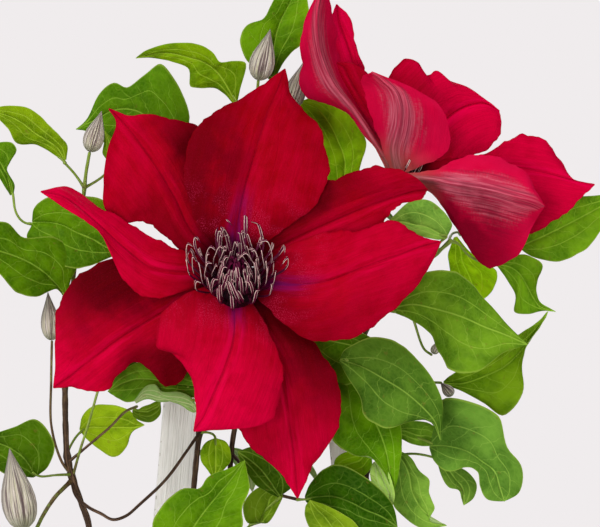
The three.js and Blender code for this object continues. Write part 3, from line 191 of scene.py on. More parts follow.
# A bud's foot, tip and width.
BUDS = {
    "bud_1": ([-64.8, -2, 390.6], [-60, -4, 407], 8.2),
    "bud_2": ([3.2, -9.5, 419.4], [8, -13, 439.6], 10),
    "bud_3": ([16.3, -4, 408.2], [21.5, -4, 426.8], 8.6),
    "bud_4": ([-80, -6.8, 314.6], [-81.6, -8, 334], 7.6),
    "bud_5": ([-89.6, -54.2, 240.2], [-95.2, -56, 272], 13.6),
    "bud_6": ([81.3, -13.4, 292.4], [76.4, -15, 297.6], 4.6),
    "bud_7": ([73.6, -6, 309], [76.6, -6, 314.6], 3.6),
}


def traced(rib, left, right, depth, rise, **more):
    """A leaf blade drawn from the front: its rib and edges as right and up, the depth of its base, middle and
    tip, how far its edges lift, and what else is special to it."""
    return {"rib": rib, "left": left, "right": right, "depth": depth, "rise": rise, **more}


def ruled(base, mid, tip, left, right, **more):
    """A leaf blade given by three points of its rib and its half widths on either side."""
    return {"base": base, "mid": mid, "tip": tip, "left": left, "right": right, **more}


# A leaf's green as it looks in daylight, its stalks, and its blades. Each green, and a blade's own green and
# tone, also holds painted light and shade: it is set to how light or dark the leaf looks where it hangs.
LEAVES = {
    "leaf_high_left": ((96, 125, 5),
        [[[-75, 0, 386], [-75.4, -0.4, 386.8], [-77.5, -1, 388.5]]],
        traced([[-75, 387], [-78, 392], [-82, 395], [-87, 398], [-92, 402], [-98, 405], [-106, 407]],
        [[-79, 389], [-86, 393], [-94, 394], [-98, 400], [-102, 404]], [[-74, 393], [-78, 398], [-83, 403],
        [-89, 408], [-99, 409]], (-0.5, -3, -6), (0.8, 0.8))),
    "leaf_left_pair": ((76, 116, 5),
        [[[-70.6, 3, 348], [-74, -2, 355], [-84, -6, 360.5], [-89.2, -8, 361.6]], [[-84, -6, 360.5],
        [-91.5, -8, 362.2], [-94.4, -9, 366], [-95.6, -10, 373.5]]],
        traced([[-88, 362], [-82, 362], [-76, 361], [-70, 358], [-63, 355], [-58, 352], [-52, 350]],
        [[-87, 368], [-81, 372], [-69, 373], [-58, 370], [-54, 360]], [[-90, 356], [-83, 350], [-74, 344],
        [-66, 344], [-58, 347]], (-8, -15, -17), (2, 1)),
        traced([[-96, 373], [-97, 377], [-98, 381], [-100, 385], [-102, 388], [-104, 391], [-108, 392]],
        [[-98, 375], [-101, 380], [-103, 384], [-106, 388]], [[-95, 377], [-98, 384], [-94, 391], [-96, 394],
        [-102, 394]], (-10, -12, -13), (0.5, 1), small=True, tone=0.9)),
    "leaf_small_high": ((108, 145, 14),
        [[[-57.3, 4, 385.5], [-57, 4, 386.6], [-56.7, 4, 388.5]]],
        ruled([-57.1, 4, 386.6], [-56.6, 4, 392], [-59, 4, 399], [2, 3.4, 3, 1.5], [2, 3, 2.6, 1.4],
        small=True)),
    "leaf_behind_bloom": ((71, 111, 7),
        [[[-6, 2, 375], [-14, 12, 382], [-24, 22, 388], [-33, 26, 391]]],
        traced([[-31, 391], [-36, 400], [-42, 405], [-48, 408], [-55, 408], [-63, 404], [-71, 400]],
        [[-36, 387], [-44, 390], [-51, 392], [-59, 394], [-66, 399]], [[-25, 404], [-28, 415], [-32, 422],
        [-37, 427], [-43, 422], [-50, 417], [-56, 419], [-62, 414], [-67, 404]], (26, 24, 19), (0.8, -1.5))),
    "leaf_top_left": ((94, 127, 3),
        [[[1.5, 2, 409], [-2, -3, 408.4], [-5.6, -8, 410.8], [-6.8, -8.6, 413]]],
        traced([[-6, 410], [-9, 416], [-13, 422], [-18, 426], [-24, 428], [-34, 430], [-46, 428]], [[-10, 413],
        [-15, 416], [-20, 416], [-24, 417], [-25, 424], [-32, 427], [-40, 428]], [[-4, 416], [-2, 426],
        [-7, 427], [-12, 426], [-16, 431], [-23, 434], [-32, 434], [-42, 431]], (-8, -12, -14), (-2, 2.4))),
    "leaf_top": ((82, 124, 4),
        [[[1.5, 2, 409], [4.5, 0, 413], [8.8, -3, 418.8], [8.8, -3, 421]]],
        traced([[9, 419], [9, 428], [10, 436], [12, 443], [15, 449], [18, 455], [20, 461]], [[5, 422],
        [-2, 428], [-4, 436], [-2, 441], [5, 444], [8, 449], [12, 456]], [[12, 424], [17, 431], [22, 435],
        [24, 442], [23, 451], [22, 457]], (-3, -1, 0), (2.5, 1))),
    "leaf_right_of_top": ((125, 181, 12),
        [[[27, 7, 366], [31, 9, 370], [36, 10, 372], [38, 10, 374]]],
        traced([[37, 373], [38, 381], [38, 388], [35, 396], [32, 402], [27, 408], [20, 411]], [[32, 377],
        [30, 385], [28, 393], [24, 400], [20, 406]], [[43, 380], [45, 387], [47, 394], [42, 404], [35, 409],
        [27, 413]], (10, 13, 14), (1, 1))),
    "leaf_left": ((72, 111, 3),
        [[[-73.8, -1, 317], [-75, -6, 325], [-74, -11, 331], [-75.5, -12.4, 333.5]]],
        traced([[-74, 332], [-78, 337], [-83, 342], [-89, 346], [-96, 349], [-103, 351], [-110, 352]],
        [[-78, 335], [-86, 332], [-94, 334], [-100, 341], [-106, 348]], [[-72, 339], [-69, 348], [-78, 356],
        [-91, 356], [-98, 362], [-106, 360]], (-11.4, -20, -26), (2, -2))),
    "leaf_low_left": ((56, 89, 3),
        [[[-71.9, -12, 260.5], [-78, -20, 260.5], [-84, -26, 260.2], [-87, -28, 261.5]]],
        traced([[-86, 260], [-88, 264], [-91, 268], [-95, 271], [-99, 273], [-104, 274], [-110, 272]],
        [[-90, 260], [-97, 261], [-102, 264], [-107, 268]], [[-81, 264], [-78, 272], [-81, 279], [-86, 283],
        [-94, 280], [-103, 277]], (-27, -30, -31), (0.8, 1.5))),
    "leaf_pale_left": ((125, 158, 18),
        [[[-73.6, -11, 267.5], [-73, -3, 271], [-70, 3, 276], [-67.5, 5, 278.2]]],
        traced([[-69, 278], [-65, 279], [-60, 279], [-56, 279], [-52, 279], [-47, 279], [-43, 280]],
        [[-68, 284], [-63, 288], [-56, 288], [-49, 286], [-46, 282]], [[-66, 274], [-61, 270], [-55, 267],
        [-50, 271], [-48, 277]], (4, 8, 9), (1, 1), small=True)),
    "leaf_under_bloom": ((86, 132, 22),
        [[[-17.4, 6.5, 294], [-18, -4, 296], [-21, -18, 296.4], [-25, -22.5, 295.6]], [[-18, -4, 296],
        [-17, -20, 292.6], [-20.4, -28, 290.6], [-23.4, -31, 290.8]]],
        traced([[-18, 296], [-29, 297], [-34, 298], [-40, 299], [-46, 299], [-52, 297], [-57, 294]],
        [[-21, 292], [-30, 292], [-38, 292], [-43, 291], [-50, 290], [-54, 292]], [[-22, 301], [-33, 304],
        [-41, 306], [-47, 305], [-53, 301]], (-21.6, -23, -24), (3, -2)),
        traced([[-46, 290], [-42, 293], [-37, 292], [-33, 291], [-28, 290], [-24, 289], [-21, 286]],
        [[-42, 296], [-38, 297], [-35, 294], [-28, 294], [-23, 291]], [[-41, 291], [-36, 290], [-31, 290],
        [-26, 288], [-23, 286]], (-30, -31, -29.5), (-1, -1), small=True, under=True)),
    "leaf_twig_end": ((80, 111, 12),
        [[[-73.2, -11.5, 265.5], [-66, -16, 271.5], [-56, -19, 280], [-50, -20, 286], [-45.5, -20, 288]]],
        traced([[-47, 287], [-45, 286], [-43, 286], [-41, 286], [-39, 287], [-37, 288], [-36, 290]],
        [[-45, 287], [-43, 288], [-40, 289], [-38, 290]], [[-47, 284], [-43, 282], [-39, 282], [-36, 285]],
        (-20, -21, -21), (0.4, 0.4), small=True)),
    "leaf_hidden_left": ((39, 77, 3),
        [[[-61, -17, 295], [-60.4, -16.6, 297.5], [-59, -15.6, 301]]],
        ruled([-60.3, -16.2, 298.6], [-52, -13, 309], [-42, -12, 321], [5, 8, 7, 3], [5, 8, 7, 3],
        rise=(0.15, 0.15), small=True)),
    "leaf_olive": ((120, 159, 14),
        [[[-20.6, 8, 277], [-17, 3, 277], [-14.4, -2, 275.6], [-14, -3, 272.4]]],
        ruled([-14.2, -2.4, 274.8], [-14, -4, 267], [-14.4, -3, 258], [4, 6, 6, 3], [4, 6, 6, 3],
        rise=(0.1, 0.1), small=True)),
    "leaf_front_low": ((80, 122, 7),
        [[[-26.4, 7.4, 215], [-29, -8, 218], [-30, -24, 222], [-28.6, -31, 226.6], [-27, -33, 229.6]]],
        traced([[-28, 227], [-26, 234], [-22, 241], [-17, 248], [-12, 254], [-7, 260], [-2, 267]], [[-35, 232],
        [-39, 241], [-34, 250], [-26, 256], [-20, 256], [-16, 261], [-8, 264]], [[-18, 228], [-9, 232],
        [-3, 240], [-3, 248], [0, 256], [-1, 262]], (-31.4, -42, -44), (1.8, 3))),
    "leaf_dark_pair": ((47, 74, 3),
        [[[-6.6, 7.4, 232], [0, -4, 240], [8, -16, 248], [12, -21, 251.6]], [[0, -4, 240], [3.4, -9, 241],
        [5.4, -12, 241.6]]],
        traced([[12, 252], [10, 255], [8, 258], [5, 262], [2, 265], [-2, 268], [-5, 270]], [[8, 253], [3, 256],
        [-1, 261], [-4, 266]], [[17, 256], [18, 262], [13, 268], [7, 271], [1, 272]], (-20.4, -24, -24), (1, 1),
        small=True),
        traced([[4, 241], [5, 244], [6, 246], [7, 248], [8, 251], [10, 253], [12, 255]], [[-1, 241], [-3, 247],
        [-1, 252], [5, 256]], [[7, 241], [10, 245], [12, 249], [13, 252]], (-11, -14.6, -17), (1, 1),
        small=True, green=(88, 118, 18))),
    "leaf_dark_right": ((43, 81, 2),
        [[[19, -17, 250.6], [20, -18, 250.6], [23, -20.5, 250.8], [24.5, -21.5, 251]]],
        traced([[22, 251], [28, 252], [34, 252], [40, 250], [46, 247], [53, 244], [59, 240]], [[24, 257],
        [29, 263], [35, 265], [43, 262], [50, 257], [57, 249]], [[25, 247], [30, 244], [37, 243], [43, 240],
        [51, 239]], (-19.8, -30, -31), (1, 2.5)),
        traced([[40, 232], [36, 236], [33, 240], [30, 244], [28, 246], [26, 248], [24, 251]], [[30, 233],
        [25, 238], [22, 244], [22, 248]], [[45, 236], [42, 242], [36, 246], [30, 249]], (-34, -35, -36), (1, 1),
        small=True, green=(101, 130, 18))),
    "leaf_shaded": ((64, 98, 24),
        [[[45.2, 3, 298], [42, -8, 302], [38.6, -20, 306], [37.6, -25, 307.8], [39, -26.6, 306.6]]],
        traced([[36, 307], [45, 304], [54, 299], [62, 294], [69, 288], [74, 282], [76, 275]], [[38, 311],
        [49, 316], [59, 314], [66, 308], [73, 299], [77, 289]], [[39, 300], [44, 291], [46, 284], [54, 280],
        [64, 282], [72, 282]], (-25, -33, -36), (-2.5, -2))),
    "leaf_under_shaded": ((74, 117, 5),
        [[[45.6, 3.3, 294], [42, -6, 294], [40, -14, 292.6], [40.4, -16.4, 289.6]], [[42, -6, 294],
        [46, -8, 285], [48.6, -8, 271], [48, -7.4, 268]]],
        traced([[38, 304], [44, 293], [50, 282], [54, 272], [56, 262], [57, 252], [55, 243]], [[51, 297],
        [59, 286], [61, 276], [60, 266], [58, 255]], [[34, 294], [33, 275], [41, 269], [50, 266], [56, 256]],
        (-15.6, -24, -21), (-1, 4)),
        traced([[50, 266], [52, 262], [54, 257], [56, 252], [56, 249], [56, 246], [55, 243]], [[54, 264],
        [57, 258], [58, 253], [57, 248]], [[48, 262], [49, 256], [51, 251], [53, 246]], (-22, -25, -22.5),
        (1, 1), small=True, under=True, green=(156, 202, 52)),
        traced([[49, 268], [46, 268], [44, 266], [41, 265], [38, 264], [36, 263], [34, 262]], [[49, 264],
        [46, 260], [41, 258], [36, 259]], [[46, 270], [41, 270], [37, 269], [34, 266]], (-7.8, -8, -7),
        (0.5, 0.5), small=True, green=(114, 160, 7)),
        traced([[51, 309], [47, 310], [43, 312], [39, 313], [34, 314], [28, 315], [21, 317]], [[48, 304],
        [42, 298], [35, 296], [26, 306]], [[51, 314], [46, 317], [39, 320], [32, 320]], (-22, -20, -17),
        (0.5, 0.5), small=True, tone=0.75)),
    "leaf_right_low": ((93, 129, 43),
        [[[46.8, 4, 262], [54, -2, 267], [58, -8, 271], [58.6, -9, 269.6]], [[54, -2, 267], [66, -2, 268.6],
        [76, -5, 266.4], [79, -6, 264.4]]],
        traced([[58, 270], [62, 265], [64, 260], [65, 254], [68, 248], [72, 244], [79, 240]], [[64, 268],
        [68, 262], [72, 258], [72, 253], [74, 247], [72, 242]], [[56, 264], [56, 256], [57, 250], [61, 244],
        [69, 239]], (-8.6, -13, -15), (1.5, 1), tone=1.25),
        traced([[76, 265], [80, 262], [83, 258], [85, 256], [86, 253], [86, 251], [86, 248]], [[82, 264],
        [87, 262], [91, 257], [90, 251]], [[77, 260], [80, 255], [84, 254], [85, 251]], (-5.8, -8, -9), (1, 1),
        small=True)),
    "leaf_large_right": ((86, 124, 22),
        [[[52, -5, 326], [54, -12, 327], [55.6, -19, 326.4], [58, -20.6, 326]]],
        traced([[56, 327], [65, 329], [75, 327], [85, 324], [94, 320], [102, 317], [111, 313]], [[61, 334],
        [70, 342], [82, 342], [88, 338], [94, 331], [102, 322]], [[64, 323], [72, 317], [76, 309], [80, 303],
        [90, 302], [102, 310]], (-19, -30, -33), (-2.5, -2))),
    "leaf_right_middle": ((95, 131, 14),
        [[[45.2, 3, 299], [56, 6, 298.6], [68, 4, 297.6], [77, 3, 297.2]]],
        traced([[78, 297], [86, 297], [95, 300], [103, 304], [110, 311], [115, 318], [120, 326]], [[82, 301],
        [90, 305], [99, 311], [107, 316], [116, 322]], [[85, 294], [94, 289], [102, 284], [110, 293],
        [110, 304], [112, 313], [117, 320]], (3.2, 1, -5), (2, 2.5))),
    "leaf_right_lobed": ((78, 116, 37),
        [[[47, 4, 274], [58, -4, 277.6], [66, -8, 275.6], [71.4, -12, 273.8], [73, -13, 273]]],
        traced([[72, 272], [79, 272], [87, 270], [93, 266], [98, 262], [100, 256], [102, 250]], [[75, 283],
        [78, 291], [91, 289], [100, 284], [103, 272], [109, 264], [108, 254]], [[74, 266], [79, 262], [86, 264],
        [91, 262], [92, 256], [95, 251]], (-12, -22, -24), (-2, 3)),
        traced([[58, 277], [62, 278], [65, 277], [68, 276], [71, 276], [74, 275], [78, 274]], [[62, 281],
        [68, 282], [74, 280]], [[62, 274], [68, 272], [74, 272]], (-8, -9, -10), (0.5, 0.5), small=True,
        green=(86, 124, 26))),
    "leaf_back_right": ((158, 212, 16),
        [[[79.5, -16.8, 353.6], [81, -8, 357], [84, 6, 358], [85, 12, 357]]],
        traced([[83, 356], [85, 351], [86, 346], [88, 342], [90, 337], [91, 334], [93, 330]], [[88, 351],
        [94, 346], [100, 342], [99, 336], [96, 332]], [[81, 352], [80, 348], [81, 342], [82, 337], [87, 332]],
        (10, 17, 16), (0.8, 0.8))),
    "leaf_right_pair": ((96, 141, 18),
        [[[80.5, -17, 354.5], [83.5, -16, 353.4], [88, -10, 348.6], [95, -2, 345.6], [101.4, 6, 346]],
        [[95, -2, 345.6], [101, 4, 349.6], [107, 10, 351.6], [110, 13, 352.4]]],
        ruled([108.8, 12, 352.2], [128, 14, 361], [152.6, 10, 374.6], [8, 13, 11, 5], [6, 12, 12, 6],
        rise=(0.15, 0.15), wave=0.8),
        traced([[100, 345], [105, 344], [109, 341], [112, 336], [114, 332], [117, 328], [123, 326]],
        [[104, 348], [111, 349], [118, 345], [116, 337], [117, 330]], [[103, 340], [107, 333], [107, 326],
        [112, 325], [118, 326]], (4.8, 3, -3), (3, -1))),
    "leaf_notch": ((121, 166, 64),
        [[[75, -15.2, 349.4], [76, -18.6, 353.6], [79, -20.4, 356.4], [76.4, -20.8, 356.8]]],
        traced([[79, 356], [75, 358], [71, 360], [66, 361], [62, 362], [59, 362], [54, 360]], [[75, 355],
        [70, 356], [64, 358], [61, 360], [58, 362]], [[81, 361], [78, 366], [71, 371], [64, 370], [58, 365]],
        (-19.9, -22, -22), (0.5, 1))),
}

# A spray's start on the stem, its bearing in degrees, its reach, its rise and the length of its end leaflet.
SPRAYS = {
    "spray_foot_1": ([-61, -12, 180], 205, 30, 4, 34),
    "spray_foot_3": ([-26, 3.8, 164], 255, 40, 8, 36),
    "spray_foot_4": ([-2.5, 4, 190], 285, 44, 6, 34),
    "spray_foot_5": ([42, 2, 180], 315, 30, -2, 36),
    "spray_foot_6": ([46, 4, 222], 350, 30, 4, 34),
    "spray_back_1": ([-26.6, 7, 196], 82, 44, 4, 34),
    "spray_back_3": ([-7.5, 8, 252], 84, 44, 8, 34),
    "spray_back_4": ([-74.2, -3, 304], 50, 28, 4, 30),
    "spray_back_5": ([6, 7.6, 313], 80, 44, 8, 34),
    "spray_back_6": ([23.5, 6, 349], 74, 40, 12, 34),
}

# Each bloom's middle, the way it faces, the way its stamens lean, where they start from that middle, their size
# against the full bowl, which of its rings it has, and its receptacle's radius.
BLOOMS = [
    {"tepals": TEPALS_1, "centre": (-6, -48, 342), "axis": (0, -1, 0), "lean": (0, -0.76, 0.65),
     "heart": (0.4, -0.3, -6.5), "size": 1.0, "rings": slice(0, 6), "girth": 6.4},
    {"tepals": TEPALS_2, "centre": (60.8, -12, 381.2), "axis": (0.5, -0.06, 0.86), "lean": (0.5, -0.06, 0.86),
     "heart": (0.1, 0, 0.3), "size": 0.42, "rings": slice(1, 4), "girth": 3.8},
]
# How many stamens a ring has, the radius at their feet and at their bend, their height and how far they flare.
STAMEN_RINGS = [
    (15, 1.6, 4.2, 17.5, -2.0), (11, 2.8, 7.4, 18.5, -3.0), (14, 3.7, 10.2, 18.5, -2.0),
    (16, 4.4, 13.2, 18.5, -0.8), (18, 5.0, 16.6, 18.5, 0.4), (17, 5.4, 20.2, 17.0, 1.0),
]
CLAW, NIB = 2.2, 0.25  # half a petal's width where it leaves the receptacle, and at its tip
CHANNELS = (  # the rise, distance from the rib and width of the ribs and grooves along a petal
    (0.24, 2.6, 1.5), (0.16, 7, 1.6), (-0.45, 0, 1.1), (-0.2, 4.8, 0.9),
)
RECEPTACLE = 8.6  # its length
CLEAR = 1.2  # how far in front of its foot every stamen stays
SEAT = 0.3  # the gap left between pieces that rest on each other

# How many gaps a surface's grid has along it, and from its rib to each edge.
PETAL_GRID = (76, 24)
LEAF_GRID = (46, 14)
SMALL_LEAF_GRID = (30, 9)
BUD_GRID = (40, 48)  # along and around
LEAF_ENDS = (0.8, 0.2)  # half a blade's width at its foot and at its tip
LEAF_STATIONS = (0.1, 0.32, 0.57, 0.8)  # where a ruled leaf's half widths stand
LEAFLET = (0.72, 1, 0.8, 0.42)  # a spray leaflet's half widths there, against its widest
LEAF_LIFT = 1.28  # how much lighter a leaf is painted than it looks
YOUNG, TWIG = 0.12, 0.8  # ages of leaf stalks: green, and woody

# How old a side stem is at its foot and its tip, from green at 0 to woody at 1.
SIDE_AGES = {
    "loop": (0.9, 0.8), "bloom_1": (0.6, 0.2), "bloom_2": (0.6, 0.2), "low_right": (0.9, 0.85),
    "bud_4": (0.6, 0.5), "rising": (0.4, 0.2), "bud_5": (0.5, 0.3),
}
GREEN_SIDE = (0.35, 0.1)
KNOT = {"swell": 0.32, "reach": 1.9}
SPRAY_GREEN = (84, 126, 26)

POT = {"height": 150, "top": 95, "base": 70, "wall": 5, "floor": 6, "rim": 22, "rim_out": 4}
SOIL_TOP = 137
SOIL_WAVES, SOIL_LUMPS = 46, 520
CROWN, LUMP_TOP = 3, 140.4  # how much higher the soil is in its middle, and where its lumps end
POT_SIDES, SOIL_GRID, LUMP_GRID = 128, (84, 180), (6, 7)  # hoops and sides
LATH = {"width": 15, "depth": 8, "foot": 78, "top": 350, "lean": 5, "level": 265, "back": 22}
UPRIGHT_X = {"left": -30, "right": 40}
RUNG = {"height": 12, "depth": 5, "overhang": 6, "levels": (165, 220, 300, 336)}
EASE = 0.9  # how round a lath's edges are

# ---- the studio, in metres and watts ----
LIGHTS = [  # each lamp's place, width and power
    ("key", (-1.15, -1.3, 1.5), 1.1, 27),
    ("second", (1.35, -1.2, 1.2), 1.0, 14),
    ("front", (-0.5, -2.1, 0.15), 0.8, 16.5),
    ("back", (0.3, 1.5, 1.4), 1.0, 12),
]
LAMP_COLOUR = (1.0, 0.985, 0.96)
LAMP_AIM = (0.0, 0.0, 0.3)
BACKDROP, SKY_COLOUR, SKY = (240, 236, 237), (244, 244, 248), 0.1
FLOOR = (3.6, -0.0005, 96)  # radius, level and sides
CAMERA = {"spot": (0.020, -3.030, 0.3454), "lens": 450, "sensor": 36, "reach": 60}


def daylight(red, green, blue):
    """A colour given in everyday 0 to 255 steps, as the linear light that shaders work in."""
    c = np.array([red, green, blue], float) / 255
    return np.where(c <= 0.04045, c / 12.92, ((c + 0.055) / 1.055) ** 2.4)


def paint(red, green, blue):
    """The same colour with full alpha, as a colour socket takes it."""
    return (*daylight(red, green, blue), 1.0)


# ---- curves and grids ----
def unit(v):
    """The same heading at length one."""
    return v / np.maximum(np.linalg.norm(v, axis=-1, keepdims=True), 1e-9)


def steps(path):
    """The lengths between a path's points."""
    return np.linalg.norm(np.diff(np.asarray(path, float), axis=0), axis=1)


def travelled(path):
    """How far along a path each of its points lies."""
    return np.concatenate([[0], np.cumsum(steps(path))])


def trail(points, share):
    """Points on the smooth curve through the given ones, whose even shares fall on them."""
    p = np.asarray(points, float)
    ends = np.vstack([2 * p[0] - p[1], p, 2 * p[-1] - p[-2]])
    x = np.clip(share, 0, 1) * (len(p) - 1)
    i = np.minimum(x.astype(int), len(p) - 2)
    t = (x - i)[:, None]
    a, b, c, d = (ends[i + k] for k in range(4))
    ab, bc, cd = (
        np.maximum(np.linalg.norm(q - r, axis=1, keepdims=True) ** 0.5, 1e-4)
        for q, r in ((b, a), (c, b), (d, c))
    )
    start = ((b - a) / ab - (c - a) / (ab + bc) + (c - b) / bc) * bc
    end = ((c - b) / bc - (d - b) / (bc + cd) + (d - c) / cd) * bc
    return b + start * t + (3 * (c - b) - 2 * start - end) * t**2 + (2 * (b - c) + start + end) * t**3


def ripple(x, seed):
    """An irregular wave between about -1 and 1 that repeats nowhere on a petal or leaf."""
    draw = np.random.default_rng(seed)
    total = np.zeros_like(x, dtype=float)
    for k in range(5):
        pitch = 0.6 + 0.55 * k + 0.4 * draw.random()
        total += np.sin(x * pitch + 2 * math.pi * draw.random()) / (1 + 0.5 * k)
    return total / 2.2


def sided_ripple(across, x, left, right):
    """A ripple on each side of the rib, from these two seeds."""
    return np.where(across[None, :] < 0, ripple(x, left), ripple(x, right))


class Piece:
    """Gathers points and faces with what each point knows: blade (share along, share across, seed),
    plan (millimetres across, millimetres along, side or age) and tint (a colour)."""

    def __init__(self):
        self.points, self.faces, self.finishes = [], [], []
        self.layers = {layer: [] for layer in LAYERS}
        self.count = 0

    def add(self, points, faces, finish, **layers):
        """Takes in a surface; finish is the place of its material in the piece's list."""
        points = np.asarray(points, float).reshape(-1, 3)
        self.points.append(points)
        self.faces += [tuple(int(k) + self.count for k in face) for face in faces]
        self.finishes += [finish] * len(faces)
        for layer in LAYERS:
            values = np.asarray(layers.get(layer, (0, 0, 0)), float).reshape(-1, 3)
            self.layers[layer].append(np.broadcast_to(values, points.shape))
        self.count += len(points)

    def build(self, name, nodes, finishes, crease=60):
        """Makes the mesh object, hangs it on the root body and hides the CAD parts of the nodes that it stands
        for.
        Edges turn sharp at crease degrees.
        """
        mesh = bpy.data.meshes.new(name)
        mesh.from_pydata((np.vstack(self.points) * MM).tolist(), [], self.faces)
        mesh.polygons.foreach_set("material_index", self.finishes)
        mesh.shade_smooth()
        if crease:
            mesh.set_sharp_from_angle(angle=math.radians(crease))
        for layer in LAYERS:
            data = mesh.attributes.new(layer, "FLOAT_VECTOR", "POINT").data
            data.foreach_set("vector", np.vstack(self.layers[layer]).ravel())
        for finish in finishes:
            mesh.materials.append(finish)
        obj = bpy.data.objects.new(name, mesh)
        bpy.context.scene.collection.objects.link(obj)
        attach(obj, "root")
        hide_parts(*nodes)


def grid_faces(rows, columns, start=0, flip=False):
    """Quads over a grid of points, rows and columns counting the gaps between them."""
    i, j = np.meshgrid(np.arange(rows), np.arange(columns), indexing="ij")
    at = (i * (columns + 1) + j).ravel() + start
    quads = np.stack([at, at + 1, at + columns + 2, at + columns + 1], 1)
    return (quads[:, ::-1] if flip else quads).tolist()


def hoop_faces(hoops, sides, caps=False, flip=False):
    """Quads between closed hoops of points, with a flat face at either end if asked for."""
    i, j = np.meshgrid(np.arange(hoops - 1), np.arange(sides), indexing="ij")
    at, beside = (i * sides + j).ravel(), (i * sides + (j + 1) % sides).ravel()
    faces = np.stack([at, beside, beside + sides, at + sides], 1).tolist()
    if caps:
        faces += [list(range(sides))[::-1], [(hoops - 1) * sides + k for k in range(sides)]]
    return [face[::-1] for face in faces] if flip else faces


def add_sheet(piece, grid, across, thickness, finish, tint, seed, relief=0.0, turned=False):
    """A thin leaf or petal: a grid of points thickened along its normals and closed round its rim."""
    rows, columns = grid.shape[0] - 1, grid.shape[1] - 1
    normal = normals_of(grid)
    x = np.array([travelled(row) for row in grid])
    x -= x[:, columns // 2][:, None]
    y = travelled(grid[:, columns // 2])[:, None] + 0 * x
    grid = grid - normal * (relief * np.exp(-((x / 0.8) ** 2)))[..., None]
    half = (0.5 * thickness * (1 - 0.75 * np.abs(across) ** 10))[None, :, None]
    u = np.linspace(0, 1, rows + 1)[:, None] + 0 * x
    v = across[None, :] + 0 * x
    points = np.concatenate([(grid + normal * half).reshape(-1, 3), (grid - normal * half).reshape(-1, 3)])
    size = (rows + 1) * (columns + 1)
    faces = grid_faces(rows, columns) + grid_faces(rows, columns, size, flip=True)
    rim = [(0, j) for j in range(columns)] + [(i, columns) for i in range(rows)]
    rim += [(rows, j) for j in range(columns, 0, -1)] + [(i, 0) for i in range(rows, 0, -1)]
    at = [i * (columns + 1) + j for i, j in rim]
    faces += [(p, p + size, q + size, q) for p, q in zip(at, at[1:] + at[:1])]
    blade = np.stack([u, v, 0 * x + seed], -1)
    plan = [np.stack([x, y, 0 * x + side], -1) for side in ((1, 0) if turned else (0, 1))]
    piece.add(points, faces, finish, blade=np.array([blade, blade]), plan=np.array(plan), tint=tint)


def add_tube(piece, points, radii, finish, ages=(0, 0), seed=0, sides=8, step=1.2, knots=(), squash=None,
             rough=0.0):
    """A stem along the smooth curve through the points, tapering through radii, with rounded ends. It swells
    at its knots. squash is (direction, share): the stem is that much thinner along the direction."""
    n = max(4, int(steps(points).sum() / step))
    u = np.linspace(0, 1, n + 1)
    path = trail(points, u)
    along = travelled(path)
    radius = np.interp(u, np.linspace(0, 1, len(radii)), radii)
    if len(knots):
        far = np.min([np.linalg.norm(path - np.asarray(knot, float), axis=1) for knot in knots], axis=0)
        radius = radius * (1 + KNOT["swell"] * np.exp(-((far / KNOT["reach"]) ** 2)))
    heading = unit(np.gradient(path, axis=0))
    normals = [unit(np.cross(heading[0], [0.31, 0.2, 0.93] if abs(heading[0][2]) < 0.9 else [1, 0.2, 0]))]
    for k in range(1, n + 1):
        turned = normals[-1] - heading[k] * np.dot(normals[-1], heading[k])
        normals.append(unit(turned))
    hoops = [0, 0, *range(n + 1), n, n]  # two more at either end round it off
    path, radius, heading, normals, along = (
        values[hoops] for values in (path, radius, heading, np.array(normals), along))
    sideways = np.cross(heading, normals)
    path = path + heading * (radius * np.array([-0.9, -0.45, *[0] * (n + 1), 0.45, 0.9]))[:, None]
    radius = radius * np.array([0.35, 0.8, *[1] * (n + 1), 0.8, 0.35])
    a = np.linspace(0, 2 * math.pi, sides + 1)
    ring = np.cos(a)[None, :, None] * normals[:, None] + np.sin(a)[None, :, None] * sideways[:, None]
    spread = radius[:, None] * (1 + rough * ripple(along[:, None] / 1.7 + 1.3 * np.cos(a)[None, :], seed))
    ring = ring * spread[..., None]
    if squash:
        direction = unit(np.asarray(squash[0], float))
        ring = ring - direction * (ring @ direction)[..., None] * squash[1]
    grid = (path[:, None] + ring)[:, :-1]
    age = np.interp(along, [0, along[-1]], ages)
    flat = np.zeros(grid.shape[:2])
    plan = np.stack([flat + a[:-1] * radius.mean(), flat + along[:, None], flat + age[:, None]], -1)
    blade = np.stack([flat + along[:, None] / max(along[-1], 1e-6), flat + np.cos(a[:-1]), flat + seed], -1)
    piece.add(grid, hoop_faces(len(path), sides, caps=True), finish, blade=blade, plan=plan)


def folded(middle, left, right, half):
    """What a petal or leaf is drawn from: its shares across with and without their sign, the edge on that
    side, how far off it is, and the two straight halves that meet at the rib."""
    across = np.linspace(-1, 1, 2 * half + 1)
    a = np.abs(across)[None, :]
    edge = np.where(across[None, :, None] < 0, left, right)
    width = np.linalg.norm(edge - middle, axis=2, keepdims=True)
    return across, a, edge, width, middle + a[..., None] * (edge - middle)


def normals_of(grid):
    """Which way a grid of points faces at each of them."""
    return unit(np.cross(np.gradient(grid, axis=1), np.gradient(grid, axis=0)))


def facing_of(along, spread):
    """Whether a petal or leaf, drawn from the front, shows its face (1) or its back (-1)."""
    return 1 if along[0] * spread[2] - along[2] * spread[0] < 0 else -1


